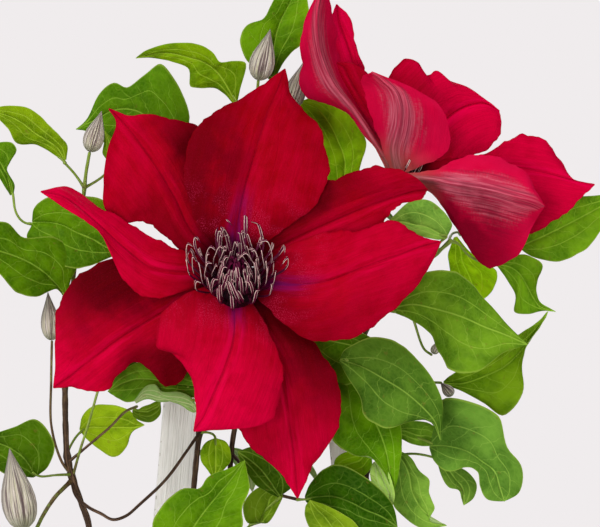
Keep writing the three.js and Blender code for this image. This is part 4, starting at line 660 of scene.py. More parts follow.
# ---- petals ----
def petal_grid(lines, centre, ruffle, seed):
    """A petal's surface: smooth from claw to tip, creased along its rib, and ruffled at its edges."""
    def place(station):
        right, up, forward = station
        return np.array([centre[0] + right, centre[1] - forward, centre[2] + up], float)

    rib, *sides = ([place(p) for p in line] for line in lines)
    facing = facing_of(rib[3] - rib[0], sides[1][2] - sides[0][2])
    rows, half = PETAL_GRID
    u = np.linspace(0, 1, rows + 1)
    edges = []
    for side, sign in zip(sides, (-facing, facing)):
        claw = unit(np.cross(rib[1] - rib[0], VIEW)) * sign * CLAW
        nib = unit(np.cross(rib[-1] - rib[-2], VIEW)) * sign * NIB
        edges.append(trail([rib[0] + claw, *side, rib[-1] + nib], u)[:, None])
    left, right = edges
    middle = trail(rib, u)[:, None]
    across, a, edge, width, creased = folded(middle, left, right, half)
    v = across[None, :, None]
    rounded = middle + v * (right - left) / 2 + v**2 * ((right + left) / 2 - middle)
    grid = 0.55 * creased + 0.45 * rounded + VIEW * facing * 0.35 * (a * (1 - a))[..., None] * width
    reach = travelled(middle[:, 0])[:, None]
    calm = (np.sin(math.pi * np.clip(u * 1.02, 0, 1)) ** 0.6)[:, None]
    wave = sided_ripple(across, reach / 4.5, seed + 11, seed + 37)
    nibble = sided_ripple(across, reach / 1.3, seed + 16, seed + 42)
    quilt = ripple(reach / 7 + 3 * across[None, :], seed + 3)
    quilt = quilt * ripple(5 * across[None, :] + reach / 30, seed + 4)
    normal = normals_of(grid)
    far = a * width[..., 0]
    channels = sum(height * np.exp(-(((far - off) / wide) ** 2)) for height, off, wide in CHANNELS)
    lift = calm * (ruffle * 1.4 * a**4 * wave + 0.9 * quilt * a)
    lift = lift + calm * channels * (1.15 - 0.75 * u[:, None])
    grid = grid + normal * lift[..., None]
    return grid + unit(edge - middle) * (calm * (0.25 + 0.3 * ruffle) * a**8 * nibble)[..., None], across


def add_petals(piece, bloom, settings):
    """A bloom's petals, each a sheet with its own ruffle and look."""
    for k, ((violet, pink, ruffle, shade), *lines) in enumerate(bloom["tepals"].values()):
        grid, across = petal_grid(lines, bloom["centre"], ruffle * settings.petal_ruffle, 100 + 7 * k)
        add_sheet(piece, grid, across, settings.petal_thickness / MM, 0, (violet, pink, shade), 10 + k)


def add_receptacle(piece, bloom):
    """What holds a bloom's petals and stamens: a green cup on the stalk, with a maroon dome in it."""
    axis = unit(np.array(bloom["axis"], float))
    back = np.array(bloom["centre"], float) - axis * (RECEPTACLE + SEAT)
    front = np.array(bloom["centre"], float) - axis * SEAT
    neck = back + axis * RECEPTACLE * 0.25
    wide = bloom["girth"]
    add_tube(piece, [back, neck], [1.6, wide * 0.9, wide], 1, ages=(0.05, 0.3), sides=16, step=0.8)
    # the dome takes the threads' finish, which paints it nearly black towards the cup as shade
    add_tube(piece, [neck - axis * 0.6, front], [wide * 0.98, wide * 0.9, 1.2], 2, sides=16, step=0.8)


# ---- stamens ----
def stamen_frame(axis):
    """The turn that takes things standing straight up onto an axis."""
    axis = unit(np.array(axis, float))
    w = np.cross(UP, axis)
    c = float(UP @ axis)
    cross = np.array([[0, -w[2], w[1]], [w[2], 0, -w[0]], [-w[1], w[0], 0]])
    return np.eye(3) + cross + cross @ cross / (1 + c)


def add_stamens(piece, bloom):
    """A bowl of flat maroon threads round a closed heart, each edged with cream pollen sacs."""
    turn = stamen_frame(bloom["lean"])
    size = bloom["size"]
    foot = np.array(bloom["centre"], float) + np.array(bloom["heart"], float)
    flat = unit(np.array(bloom["axis"], float))
    draw = np.random.default_rng(5)

    def place(p):
        """A spot of the upright bowl as it leans in the bloom, kept in front of the receptacle."""
        spot = foot + turn @ (np.asarray(p, float) * size)
        return spot + flat * max(0.0, CLEAR - float((spot - foot) @ flat))

    for ring, (count, root, reach, height, flare) in enumerate(STAMEN_RINGS[bloom["rings"]]):
        for k in range(count):
            a = 2 * math.pi * (k + 0.5 * (ring % 2) + 0.5 * (draw.random() - 0.5)) / count
            low = max(0.0, -math.sin(a))
            short = ring > 1 and (k % 3 > 0 or low < 0.8)  # most of the outer ones low in front
            far = reach * (0.88 + 0.24 * draw.random()) * (1 - 0.42 * low * short)
            tall = height * (0.82 + 0.32 * draw.random()) * (1 - 0.1 * low)
            swing = 0.5 * (draw.random() - 0.5)

            def at(radius, z, twist=0.0):
                return [radius * math.cos(a + twist), radius * math.sin(a + twist), z]

            hook = (draw.random() - 0.3) * 4.4
            path = [place(p) for p in (
                at(root, 0.3), at(root + 0.5 * (far - root), 0.14 * tall, -swing * 0.4),
                at(far * 0.97, 0.45 * tall), at(far + 0.6 * flare, 0.78 * tall, swing * 0.5),
                at(far + flare - 0.4 * hook, tall, swing),
                at(far + flare - 1.3 * hook, tall * (1 - 0.05 * abs(hook)), swing * 1.8))]
            radial = turn @ np.array([math.cos(a), math.sin(a), 0.0])
            wide = (0.42 + 0.1 * draw.random()) * size + 0.06
            add_tube(piece, path, [wide * 0.6, wide * 0.8, wide, wide, wide * 0.8, wide * 0.3], 0, seed=k,
                     sides=6, squash=(radial, 0.6))
            side = unit(np.cross(radial, turn @ UP))
            part = trail(path, np.linspace(0.4, 0.98, 7))
            for sign in (-1, 1) if ring else ():
                edge = part + side * sign * wide * np.array([0.8, 0.98, 1.0, 0.95, 0.8, 0.5, 0.05])[:, None]
                add_tube(piece, edge, [0.04, 0.1, 0.13, 0.14, 0.13, 0.08], 1, seed=50 + k, sides=5, step=1.0)
    # the closed heart, in its finish painted nearly black as shade
    heart = [foot, foot + turn @ np.array([0, 0, 13.0 * size])]
    add_tube(piece, heart, [8.6 * size, 9.2 * size, 8.2 * size, 5.4 * size, 1.8 * size], 2, seed=3, sides=24,
             step=0.6, rough=0.14)


# ---- buds ----
def add_bud(piece, base, tip, width, seed):
    """A closed bud: four seams, fine ridges, and a slight twist and bend."""
    base, tip = np.array(base, float), np.array(tip, float)
    rows, sides = BUD_GRID
    length = np.linalg.norm(tip - base)
    heading = (tip - base) / length
    normal = unit(np.cross(heading, [1, 0.1, 0.1]))
    sideways = np.cross(heading, normal)
    t = np.linspace(0, 1, rows + 1)
    outline = np.interp(t, [0, 0.03, 0.08, 0.16, 0.27, 0.38, 0.5, 0.62, 0.74, 0.86, 0.95, 1],
                        [0.26, 0.5, 0.74, 0.92, 1.0, 0.98, 0.87, 0.68, 0.46, 0.25, 0.1, 0.02])
    a = np.linspace(0, 2 * math.pi, sides + 1)
    seams = 0.07 * np.abs(np.sin(2 * a)) ** 0.5 - 0.04
    ridges = 0.026 * np.sin(17 * a + 0.6 * np.sin(2 * a))
    twist = 0.5 * t[:, None]
    swell = 1 + (seams + ridges)[None, :] * np.sin(math.pi * np.clip(t * 1.1, 0, 1))[:, None] ** 0.5
    radius = 0.5 * width * outline[:, None] * swell
    angle = a[None, :] + twist
    ring = np.cos(angle)[..., None] * normal + np.sin(angle)[..., None] * sideways
    bend = normal * 0.03 * length
    spine = base + heading * (t * length)[:, None] + bend * (np.sin(math.pi * t) ** 2)[:, None] * 0.4
    grid = spine[:, None] + ring * radius[..., None]
    faces = grid_faces(rows, sides)
    faces += [tuple(range(sides))[::-1], tuple(rows * (sides + 1) + k for k in range(sides))]
    blade = np.stack([t[:, None] + 0 * radius, a[None, :] / (2 * math.pi) + 0 * radius, 0 * radius + seed], -1)
    plan = np.stack([angle * 0.5 * width, t[:, None] * length + 0 * radius, 0 * radius], -1)
    piece.add(grid, faces, 0, blade=blade, plan=plan)


# ---- leaves ----
def ruled_leaf(leaf, face, u):
    """The rib and edges of a leaf that is given by three points and its half widths."""
    base, mid, tip = (np.array(leaf[key], float) for key in ("base", "mid", "tip"))
    handle = 2 * mid - 0.5 * base - 0.5 * tip
    stations = np.array([0, *LEAF_STATIONS, 1])[:, None]
    ribs = (1 - stations) ** 2 * base + 2 * stations * (1 - stations) * handle + stations**2 * tip
    heading = unit(2 * (1 - stations) * (handle - base) + 2 * stations * (tip - handle))
    edges = []
    for widths, sign, lift in zip((leaf["left"], leaf["right"]), (-1, 1), leaf.get("rise", (0.15, 0.15))):
        width = np.array([LEAF_ENDS[0], *widths, LEAF_ENDS[1]])[:, None]
        wave = leaf.get("wave", 0) * np.sin(7 * stations + 2 * sign) * ((stations > 0) & (stations < 1))
        edge = ribs + unit(np.cross(heading, face)) * sign * width + face * (lift * width + wave)
        edges.append(trail(edge, u)[:, None])
    return trail(ribs, u)[:, None], *edges


def drawn(leaf, key, lift):
    """Stations of a leaf that is drawn from the front; its depth runs through base, middle and tip."""
    flat = np.array(leaf[key], float)
    n = len(flat)
    t = np.linspace(0, 1, n) if key == "rib" else np.arange(1, n + 1) / (n + 1)
    base, mid, tip = leaf["depth"]
    deep = base * (1 - t) * (1 - 2 * t) + mid * 4 * t * (1 - t) + tip * t * (2 * t - 1)
    deep = deep - lift * (0.1 + 3.6 * t * (1 - t))
    return np.stack([flat[:, 0], deep, flat[:, 1]], 1)


def leaf_grid(leaf, rows, half, ruffle, seed):
    """A leaf's surface from its rib and edges or half widths, folded, waved and nibbled at its edges."""
    u = np.linspace(0, 1, rows + 1)
    if "rib" in leaf:
        face = VIEW
        rib, *sides = (drawn(leaf, key, lift) for key, lift in zip(("rib", "left", "right"), (0, *leaf["rise"])))
        facing = facing_of(rib[2] - rib[0], sides[1][1] - sides[0][1])
        middle = trail(rib, u)[:, None]
        ends = [unit(np.cross(rib[k + 1] - rib[k], VIEW)) * facing for k in (0, -2)]
        foot, nib = (end * wide for end, wide in zip(ends, LEAF_ENDS))
        left, right = (
            trail([rib[0] + sign * foot, *side, rib[-1] + sign * nib], u)[:, None]
            for side, sign in zip(sides, (-1, 1)))
    else:
        face = unit(np.array(leaf.get("face", VIEW), float))
        middle, left, right = ruled_leaf(leaf, face, u)
    across, a, edge, width, grid = folded(middle, left, right, half)
    grid = grid + face * 0.25 * (a * (1 - a))[..., None] * width
    length = steps(middle[:, 0]).sum()
    reach = (u * length)[:, None]
    calm = (np.sin(math.pi * u) ** 0.7)[:, None]
    wave = sided_ripple(across, reach / 5, seed, seed + 9)
    nibble = sided_ripple(across, reach / 1.9, seed + 1, seed + 2)
    quilt = np.sin(1.05 * reach - 0.88 * a * width[..., 0])
    normal = normals_of(grid)
    small = min(1.0, length / 30)
    lift = calm * small * (ruffle * a**3 * wave + 0.24 * quilt * np.sin(math.pi * a) ** 0.7)
    grid = grid + normal * lift[..., None]
    return grid + unit(edge - middle) * (calm * small * 0.22 * a**8 * nibble)[..., None], across


def spray_plan(start, bearing, reach, rise, leaflet):
    """The stalks and leaflets of a spray of three, laid out by rule."""
    turn = math.radians(bearing)

    def ahead(degrees):
        a = turn + math.radians(degrees)
        return np.array([math.cos(a), math.sin(a), 0.0])

    root = np.array(start, float)
    fork = root + ahead(0) * reach * 0.72 + UP * (rise + 6)
    stalks = [[root, root + ahead(0) * reach * 0.4 + UP * (rise * 0.5 + 6), fork]]
    blades = []
    for angle, stalk, share in ((0, 0.3, 1), (72, 0.22, 0.82), (-72, 0.22, 0.82)):
        out = ahead(angle)
        base = fork + out * reach * stalk + UP * 2
        stalks.append([fork, base + out * 1.6 - UP * 0.3])
        length = leaflet * share
        widths = [w * length * 0.31 for w in LEAFLET]
        mid, tip = (base + out * length * far - UP * length * drop for far, drop in ((0.47, 0.1), (0.84, 0.5)))
        blades.append(ruled(base, mid, tip, widths, widths, rise=(0.22, 0.22), wave=0.4,
                            face=unit(out * 0.5 + UP * 0.87)))
    return stalks, blades


def add_leaves(piece, stalks, blades, green, settings, seed, age=YOUNG):
    """Stalks, and the blades at their ends, each in its own shade of the green."""
    thickness = settings.leaf_thickness / MM
    draw = np.random.default_rng(seed)
    for k, points in enumerate(stalks):
        add_tube(piece, points, [0.62, 0.5, 0.5, 0.58], 1, ages=(age, age * 0.6), seed=seed + k,
                 knots=points[:1], rough=0.05)
    for k, blade in enumerate(blades):
        rows, half = SMALL_LEAF_GRID if blade.get("small") else LEAF_GRID
        grid, across = leaf_grid(blade, rows, half, settings.leaf_ruffle, seed + 20 * k)
        shade = 0.9 + 0.2 * draw.random()
        tint = daylight(*blade.get("green", green)) * shade * blade.get("tone", 1) * LEAF_LIFT
        add_sheet(piece, grid, across, thickness, 0, np.minimum(tint, 0.9), seed + k, relief=0.3,
                  turned=blade.get("under", False))


# ---- clay, soil and laths ----
def outer(z):
    """The pot's radius outside, at a height below its rim band."""
    return POT["base"] + (POT["top"] - POT["base"]) / POT["height"] * z


def inner(z):
    """The pot's radius inside."""
    return outer(z) - POT["wall"]


def add_pot(piece):
    """A thrown pot: a stepped foot, a wall with faint throwing lines, a rolled rim and the inside."""
    out, top, floor = POT["rim_out"], POT["height"], POT["floor"]
    rim = top - POT["rim"]
    # radius and height, from the middle of the foot up the outside, over the rim and down the inside
    profile = [(0, 0.6), (40, 0.6), (58, 0.4), (61, 0), (66.5, 0), (68.4, 0.4), (outer(1.6) - 0.1, 1.9)]
    profile += [(outer(z) + 0.12 * math.sin(z * 1.3) - 0.1, z) for z in np.linspace(3, rim - 3, 58)]
    profile += [(outer(rim) - 0.1, rim - 0.8), (outer(rim) + 1.4, rim + 0.3), (outer(rim) + 3.2, rim + 1.3)]
    profile += [(outer(rim + 2.4) + out - 0.2, rim + 2.6)]
    profile += [(outer(z) + out + 0.1 * math.sin(z * 1.9) - 0.1, z) for z in np.linspace(rim + 4, top - 5, 9)]
    profile += [(outer(top - 3) + out - 0.1, top - 3), (outer(top) + 3.2, top - 1.2),
                (outer(top) + 1.8, top - 0.3), (outer(top) - 0.6, top), (outer(top) - 2.6, top - 0.1),
                (inner(top) + 1.1, top - 0.8), (inner(top) + 0.1, top - 2.2)]
    profile += [(inner(z) + 0.05, z) for z in np.linspace(top - 5, floor + 2, 20)]
    profile += [(inner(floor) - 2, floor + 0.2), (0, floor)]
    a = np.linspace(0, 2 * math.pi, POT_SIDES + 1)[:-1]
    rings = np.array(profile, float)
    wobble = 1 + 0.0012 * np.sin(2 * a + 0.4)[None, :] * (rings[:, 1:] / top)
    radius = rings[:, :1] * wobble
    grid = np.stack([radius * np.cos(a), radius * np.sin(a), rings[:, 1:] + 0 * radius], -1)
    piece.add(grid, hoop_faces(len(rings), POT_SIDES), 0, plan=grid)


def add_soil(piece):
    """Crumbly potting soil, a little higher in the middle, with lumps lying on it."""
    draw = np.random.default_rng(21)
    waves = [(draw.uniform(0.08, 1.4), draw.uniform(0, 2 * math.pi), draw.uniform(0, 6.3))
             for _ in range(SOIL_WAVES)]

    def height(x, y):
        z = 0.9 * np.sin(0.13 * x + 1) * np.cos(0.17 * y)
        for pitch, turn, start in waves:
            share = 0.32 / (0.5 + pitch)
            z = z + share * np.sin(pitch * (x * math.cos(turn) + y * math.sin(turn)) + start)
        return z

    def limit(z):
        """The soil's radius, just inside the pot's wall."""
        return inner(z) - 0.6

    rings, sides = SOIL_GRID
    wide, foot = limit(SOIL_TOP), POT["floor"] + 0.4
    a = np.linspace(0, 2 * math.pi, sides + 1)[:-1]
    r = wide * np.linspace(0.004, 1, rings)[:, None]
    x, y = r * np.cos(a), r * np.sin(a)
    crown = SOIL_TOP + CROWN * (1 - (r / wide) ** 2)
    z = crown + (height(x, y) - 0.2) * np.clip((wide - r) / 6, 0.15, 1)
    grid = np.stack([x, y, z + 0 * x], -1)
    skirt = [np.stack([reach * np.cos(a), reach * np.sin(a), low + 0 * a], -1)
             for reach, low in (*((limit(z), z) for z in (SOIL_TOP - 3, 60, foot)), (0.01, foot))]
    grid = np.concatenate([grid, np.array(skirt)])
    piece.add(grid, hoop_faces(len(grid), sides, flip=True), 0, plan=grid)
    bands, gores = LUMP_GRID
    lat = np.linspace(0, math.pi, bands)
    lon = np.linspace(0, 2 * math.pi, gores + 1)[:-1]
    for _ in range(SOIL_LUMPS):
        r, turn = wide * math.sqrt(draw.random()) * 0.96, draw.uniform(0, 2 * math.pi)
        x, y = r * math.cos(turn), r * math.sin(turn)
        size = draw.uniform(0.6, 2.3) * (0.6 + 0.6 * draw.random())
        z = SOIL_TOP + CROWN * (1 - (r / wide) ** 2) + float(height(np.array(x), np.array(y))) - 0.2
        shape = np.stack([np.outer(np.sin(lat), np.cos(lon)), np.outer(np.sin(lat), np.sin(lon)),
                          np.outer(np.cos(lat), np.ones(gores))], -1)
        shape = shape * size * draw.uniform(0.55, 1.15, 3) * (0.85 + 0.3 * draw.random((bands, gores, 1)))
        shape = shape + [x, y, min(z + 0.2 * size, LUMP_TOP - 0.3 * size)]
        piece.add(shape, hoop_faces(bands, gores, flip=True), 0, plan=shape, tint=(draw.random(), 1, 0))


def add_lath(piece, start, end, across, out, width, depth, seed):
    """A sawn lath with eased edges and a slightly uneven painted face, from one end to the other."""
    start, end, across, out = (np.array(p, float) for p in (start, end, across, out))
    length = np.linalg.norm(end - start)
    corner = []
    for sx, sy, first in ((1, 1, 0), (-1, 1, 90), (-1, -1, 180), (1, -1, 270)):
        for k in range(4):
            t = math.radians(first + 30 * k)
            corner.append((sx * (width / 2 - EASE) + EASE * math.cos(t),
                           sy * (depth / 2 - EASE) + EASE * math.sin(t)))
    section = []
    for (ax, ay), (bx, by) in zip(corner, corner[1:] + corner[:1]):
        count = max(1, int(math.hypot(bx - ax, by - ay) / 1.5))
        section += [(ax + (bx - ax) * k / count, ay + (by - ay) * k / count) for k in range(count)]
    section = np.array(section)
    rows = int(length / 3)
    s = np.concatenate([[0, 0.5], np.linspace(0, 1, rows)[1:-1] * (length - 2) + 1, [length - 0.5, length]])
    ends = np.minimum(np.minimum(s, length - s), EASE) / EASE
    shrink = EASE - EASE * np.sqrt(1 - (1 - ends) ** 2)
    x = section[None, :, 0] - np.sign(section[:, 0])[None, :] * shrink[:, None]
    y = section[None, :, 1] - np.sign(section[:, 1])[None, :] * shrink[:, None]
    uneven = 0.10 * ripple(s[:, None] / 9 + 2 * section[None, :, 0] / width, seed)
    x = x * (1 + 0.012 * ripple(s[:, None] / 20 + 0 * x, seed + 1))
    y = y - 0.05 + (uneven - 0.08) * np.sign(y)
    along = unit(end - start)
    grid = start + along * s[:, None, None] + across * x[..., None] + out * y[..., None]
    faces = hoop_faces(len(s), len(section), caps=True, flip=np.dot(np.cross(across, out), along) < 0)
    plan = np.stack([travelled(section)[None, :] + 0 * x, s[:, None] + 0 * x, 0 * x], -1)
    corners = np.maximum(width / 2 - np.abs(section[:, 0]), depth / 2 - np.abs(section[:, 1]))
    worn = np.clip(1 - corners / 1.2, 0, 1)[None, :] + np.clip(1 - s / 3, 0, 1)[:, None] + 0 * x
    worn = np.clip(worn + np.clip(1 - (length - s) / 3, 0, 1)[:, None], 0, 1)
    blade = np.stack([s[:, None] / length + 0 * x, worn, 0 * x + seed], -1)
    piece.add(grid, faces, 0, blade=blade, plan=plan)


def upright_x(side, z):
    """How far right an upright's middle stands at a height."""
    lean = math.tan(math.radians(LATH["lean"])) * (z - LATH["level"])
    return UPRIGHT_X[side] + (lean if side == "left" else -lean)


# ---- finishes ----
class Bench:
    """Lays shader nodes out in a material or a group and wires them up."""

    def __init__(self, tree):
        self.tree = tree

    def put(self, kind, sockets=(), **settings):
        node = self.tree.nodes.new(kind)
        for name, value in settings.items():
            setattr(node, name, value)
        return self.feed(node, sockets)

    def feed(self, node, sockets):
        """Wires other nodes' outputs to a node's sockets, and sets plain values on them."""
        for key, value in dict(sockets).items():
            if isinstance(value, bpy.types.NodeSocket):
                self.tree.links.new(value, node.inputs[key])
            else:
                node.inputs[key].default_value = value
        return node

    def math(self, operation, *values):
        return self.put("ShaderNodeMath", dict(enumerate(values)), operation=operation).outputs[0]

    def times(self, a, b):
        return self.math("MULTIPLY", a, b)

    def plus(self, a, b):
        return self.math("ADD", a, b)

    def minus(self, a, b):
        return self.math("SUBTRACT", a, b)

    def over(self, a, b):
        return self.math("DIVIDE", a, b)

    def total(self, first, *parts):
        """A value with others added to it, each given with its share."""
        for value, share in parts:
            first = self.plus(first, self.times(value, share))
        return first

    def unsigned(self, a):
        return self.math("ABSOLUTE", a)

    def larger(self, a, b):
        return self.math("MAXIMUM", a, b)

    def mix(self, share, a, b, blend="MIX"):
        return self.put("ShaderNodeMix", {0: share, 6: a, 7: b}, data_type="RGBA", blend_type=blend,
                        clamp_factor=True).outputs[2]

    def toned(self, colour, red, green, blue):
        """A colour with its red, green and blue turned down or up by these shares."""
        return self.mix(1.0, colour, (red, green, blue, 1), "MULTIPLY")

    def coats(self, colour, *coats):
        """A colour with coats laid over it one after another, each given as its cover and its colour."""
        for cover, coat in coats:
            colour = self.mix(cover, colour, coat)
        return colour

    def band(self, value, low, high, start=0.0, end=1.0):
        """Eases from start to end as the value goes from low to high."""
        return self.put("ShaderNodeMapRange", {0: value, 1: low, 2: high, 3: start, 4: end},
                        interpolation_type="SMOOTHSTEP").outputs[0]

    def spot(self, x, y, z=0.0):
        return self.put("ShaderNodeCombineXYZ", {0: x, 1: y, 2: z}).outputs[0]

    def split(self, vector):
        return self.put("ShaderNodeSeparateXYZ", {0: vector}).outputs

    def noise(self, vector, detail=2.0, roughness=0.5, distortion=0.0):
        return self.put("ShaderNodeTexNoise", {"Vector": vector, "Scale": 1.0, "Detail": detail,
                                               "Roughness": roughness, "Distortion": distortion}).outputs[0]

    def use(self, tree, sockets=()):
        return self.put("ShaderNodeGroup", sockets, node_tree=tree).outputs

    def clouds(self, place, size, seed=None):
        """Soft patches about this many millimetres wide."""
        seed = place["Seed"] if seed is None else seed
        return self.use(mottle_group(), {"Spot": place["Plan"], "Size": size, "Seed": seed})[0]

    def streaks(self, place, pitch, stretch, x="Width", y="Length"):
        """Lines this many millimetres apart that run along the piece, or across it with x and y swapped."""
        return self.use(streaks_group(), {"Width": place[x], "Length": place[y], "Pitch": pitch,
                                          "Stretch": stretch, "Seed": place["Seed"]})[0]

    def surface(self, colour, rough, height, relief, shine):
        """What a shader is fed. rough is a band, and a height of one stands out by relief in metres."""
        normal = self.put("ShaderNodeBump", {"Height": height, "Distance": relief}).outputs[0]
        return {"Base Color": colour, "Roughness": self.band(*rough), "Normal": normal,
                "Specular IOR Level": shine}


def group(name, ins, outs, draw):
    """A shader node group, built once and wired up by draw. ins holds its inputs' values, outs its outputs'
    names."""
    tree = bpy.data.node_groups.get(name)
    if tree:
        return tree
    tree = bpy.data.node_groups.new(name, "ShaderNodeTree")
    for way, labels in (("INPUT", ins), ("OUTPUT", outs)):
        for label in labels:
            kind = "NodeSocketVector" if label in VECTORS else "NodeSocketFloat"
            socket = tree.interface.new_socket(name=label, in_out=way, socket_type=kind)
            if way == "INPUT" and label not in VECTORS:
                socket.default_value = ins[label]
    bench = Bench(tree)
    source = bench.put("NodeGroupInput").outputs
    sink = bench.put("NodeGroupOutput").inputs
    for label, socket in draw(bench, source).items():
        tree.links.new(socket, sink[label])
    return tree


def place_group():
    """Where a spot lies on its petal, leaf, stem or lath, and the colour it was given."""
    blade_labels, plan_labels = ("Along", "Across", "Seed"), ("Width", "Length", "Side")

    def draw(bench, _):
        blade, plan, tint = (
            bench.put("ShaderNodeAttribute", attribute_name=layer).outputs["Vector"] for layer in LAYERS)
        parts = [*zip(blade_labels, bench.split(blade)), *zip(plan_labels, bench.split(plan))]
        return {**dict(parts), "Plan": plan, "Tint": tint}
    return group("Place on the piece", {}, (*blade_labels, *plan_labels, "Plan", "Tint"), draw)


def streaks_group():
    """Fine irregular lines along a petal, stem, bud or lath."""
    def draw(bench, source):
        x = bench.over(source["Width"], source["Pitch"])
        y = bench.over(source["Length"], bench.times(source["Pitch"], source["Stretch"]))
        grain = bench.noise(bench.spot(x, y, source["Seed"]), 3.0, 0.6, 0.15)
        return {"Streaks": bench.band(grain, 0.34, 0.66)}
    ins = {"Width": 0.0, "Length": 0.0, "Pitch": 1.0, "Stretch": 16.0, "Seed": 0.0}
    return group("Lengthwise streaks", ins, ("Streaks",), draw)


def mottle_group():
    """Soft cloudy patches of the given size."""
    def draw(bench, source):
        seeds = bench.spot(source["Seed"], source["Seed"], source["Seed"])
        spot = bench.put("ShaderNodeVectorMath", {0: source["Spot"], 3: bench.over(1.0, source["Size"])},
                         operation="SCALE").outputs[0]
        shifted = bench.put("ShaderNodeVectorMath", {0: spot, 1: seeds}, operation="ADD").outputs[0]
        return {"Mottle": bench.band(bench.noise(shifted, 3.0, 0.55), 0.3, 0.7)}
    return group("Mottle", {"Spot": None, "Size": 6.0, "Seed": 0.0}, ("Mottle",), draw)


def veins_group():
    """The midrib, the long side veins, the branches and the fine net of a leaf or petal."""
    def draw(bench, source):
        width, length, seed, spacing = (source[label] for label in ("Width", "Length", "Seed", "Spacing"))
        x = bench.unsigned(width)
        v = bench.larger(bench.unsigned(source["Across"]), 0.02)
        shake = bench.minus(bench.noise(bench.spot(bench.over(width, 5.0), bench.over(length, 5.0), seed)), 0.5)
        rib = bench.band(x, 0.12, 0.55, 1.0, 0.0)
        off = bench.unsigned(bench.minus(1.0, bench.over(source["Arch"], v)))
        off = bench.plus(bench.times(off, x), bench.times(shake, 0.35))
        side = bench.band(bench.unsigned(off), 0.08, 0.38, 1.0, 0.0)
        climb = bench.minus(length, bench.times(x, 0.85))
        step = bench.plus(bench.over(climb, spacing), bench.times(shake, 0.9))
        near = bench.times(bench.unsigned(bench.minus(bench.math("FRACT", step), 0.5)), spacing)
        branch = bench.times(bench.band(near, 0.06, 0.34, 1.0, 0.0), bench.band(v, 0.55, 0.95, 0.85, 0.25))
        cell = bench.spot(bench.over(width, source["Net size"]), bench.over(length, source["Net size"]), seed)
        edge = bench.put("ShaderNodeTexVoronoi", {"Vector": cell, "Scale": 1.0}, feature="DISTANCE_TO_EDGE")
        net = bench.band(edge.outputs["Distance"], 0.0, 0.26, 1.0, 0.0)
        return {"Rib": rib, "Side veins": side, "Branches": branch, "Net": net}
    ins = {"Across": 0.0, "Width": 0.0, "Length": 0.0, "Arch": 0.45, "Spacing": 7.0, "Net size": 2.4,
           "Seed": 0.0}
    return group("Veins", ins, ("Rib", "Side veins", "Branches", "Net"), draw)


def finish(name, draw):
    """A material on a Principled shader, fed with what draw returns."""
    material = bpy.data.materials.get(name)
    if material:
        return material
    material = bpy.data.materials.new(name)
    material.use_nodes = True
    material.node_tree.nodes.clear()
    bench = Bench(material.node_tree)
    shader = bench.put("ShaderNodeBsdfPrincipled")
    bench.put("ShaderNodeOutputMaterial", {"Surface": shader.outputs[0]})
    bench.feed(shader, draw(bench, bench.use(place_group())))
    return material


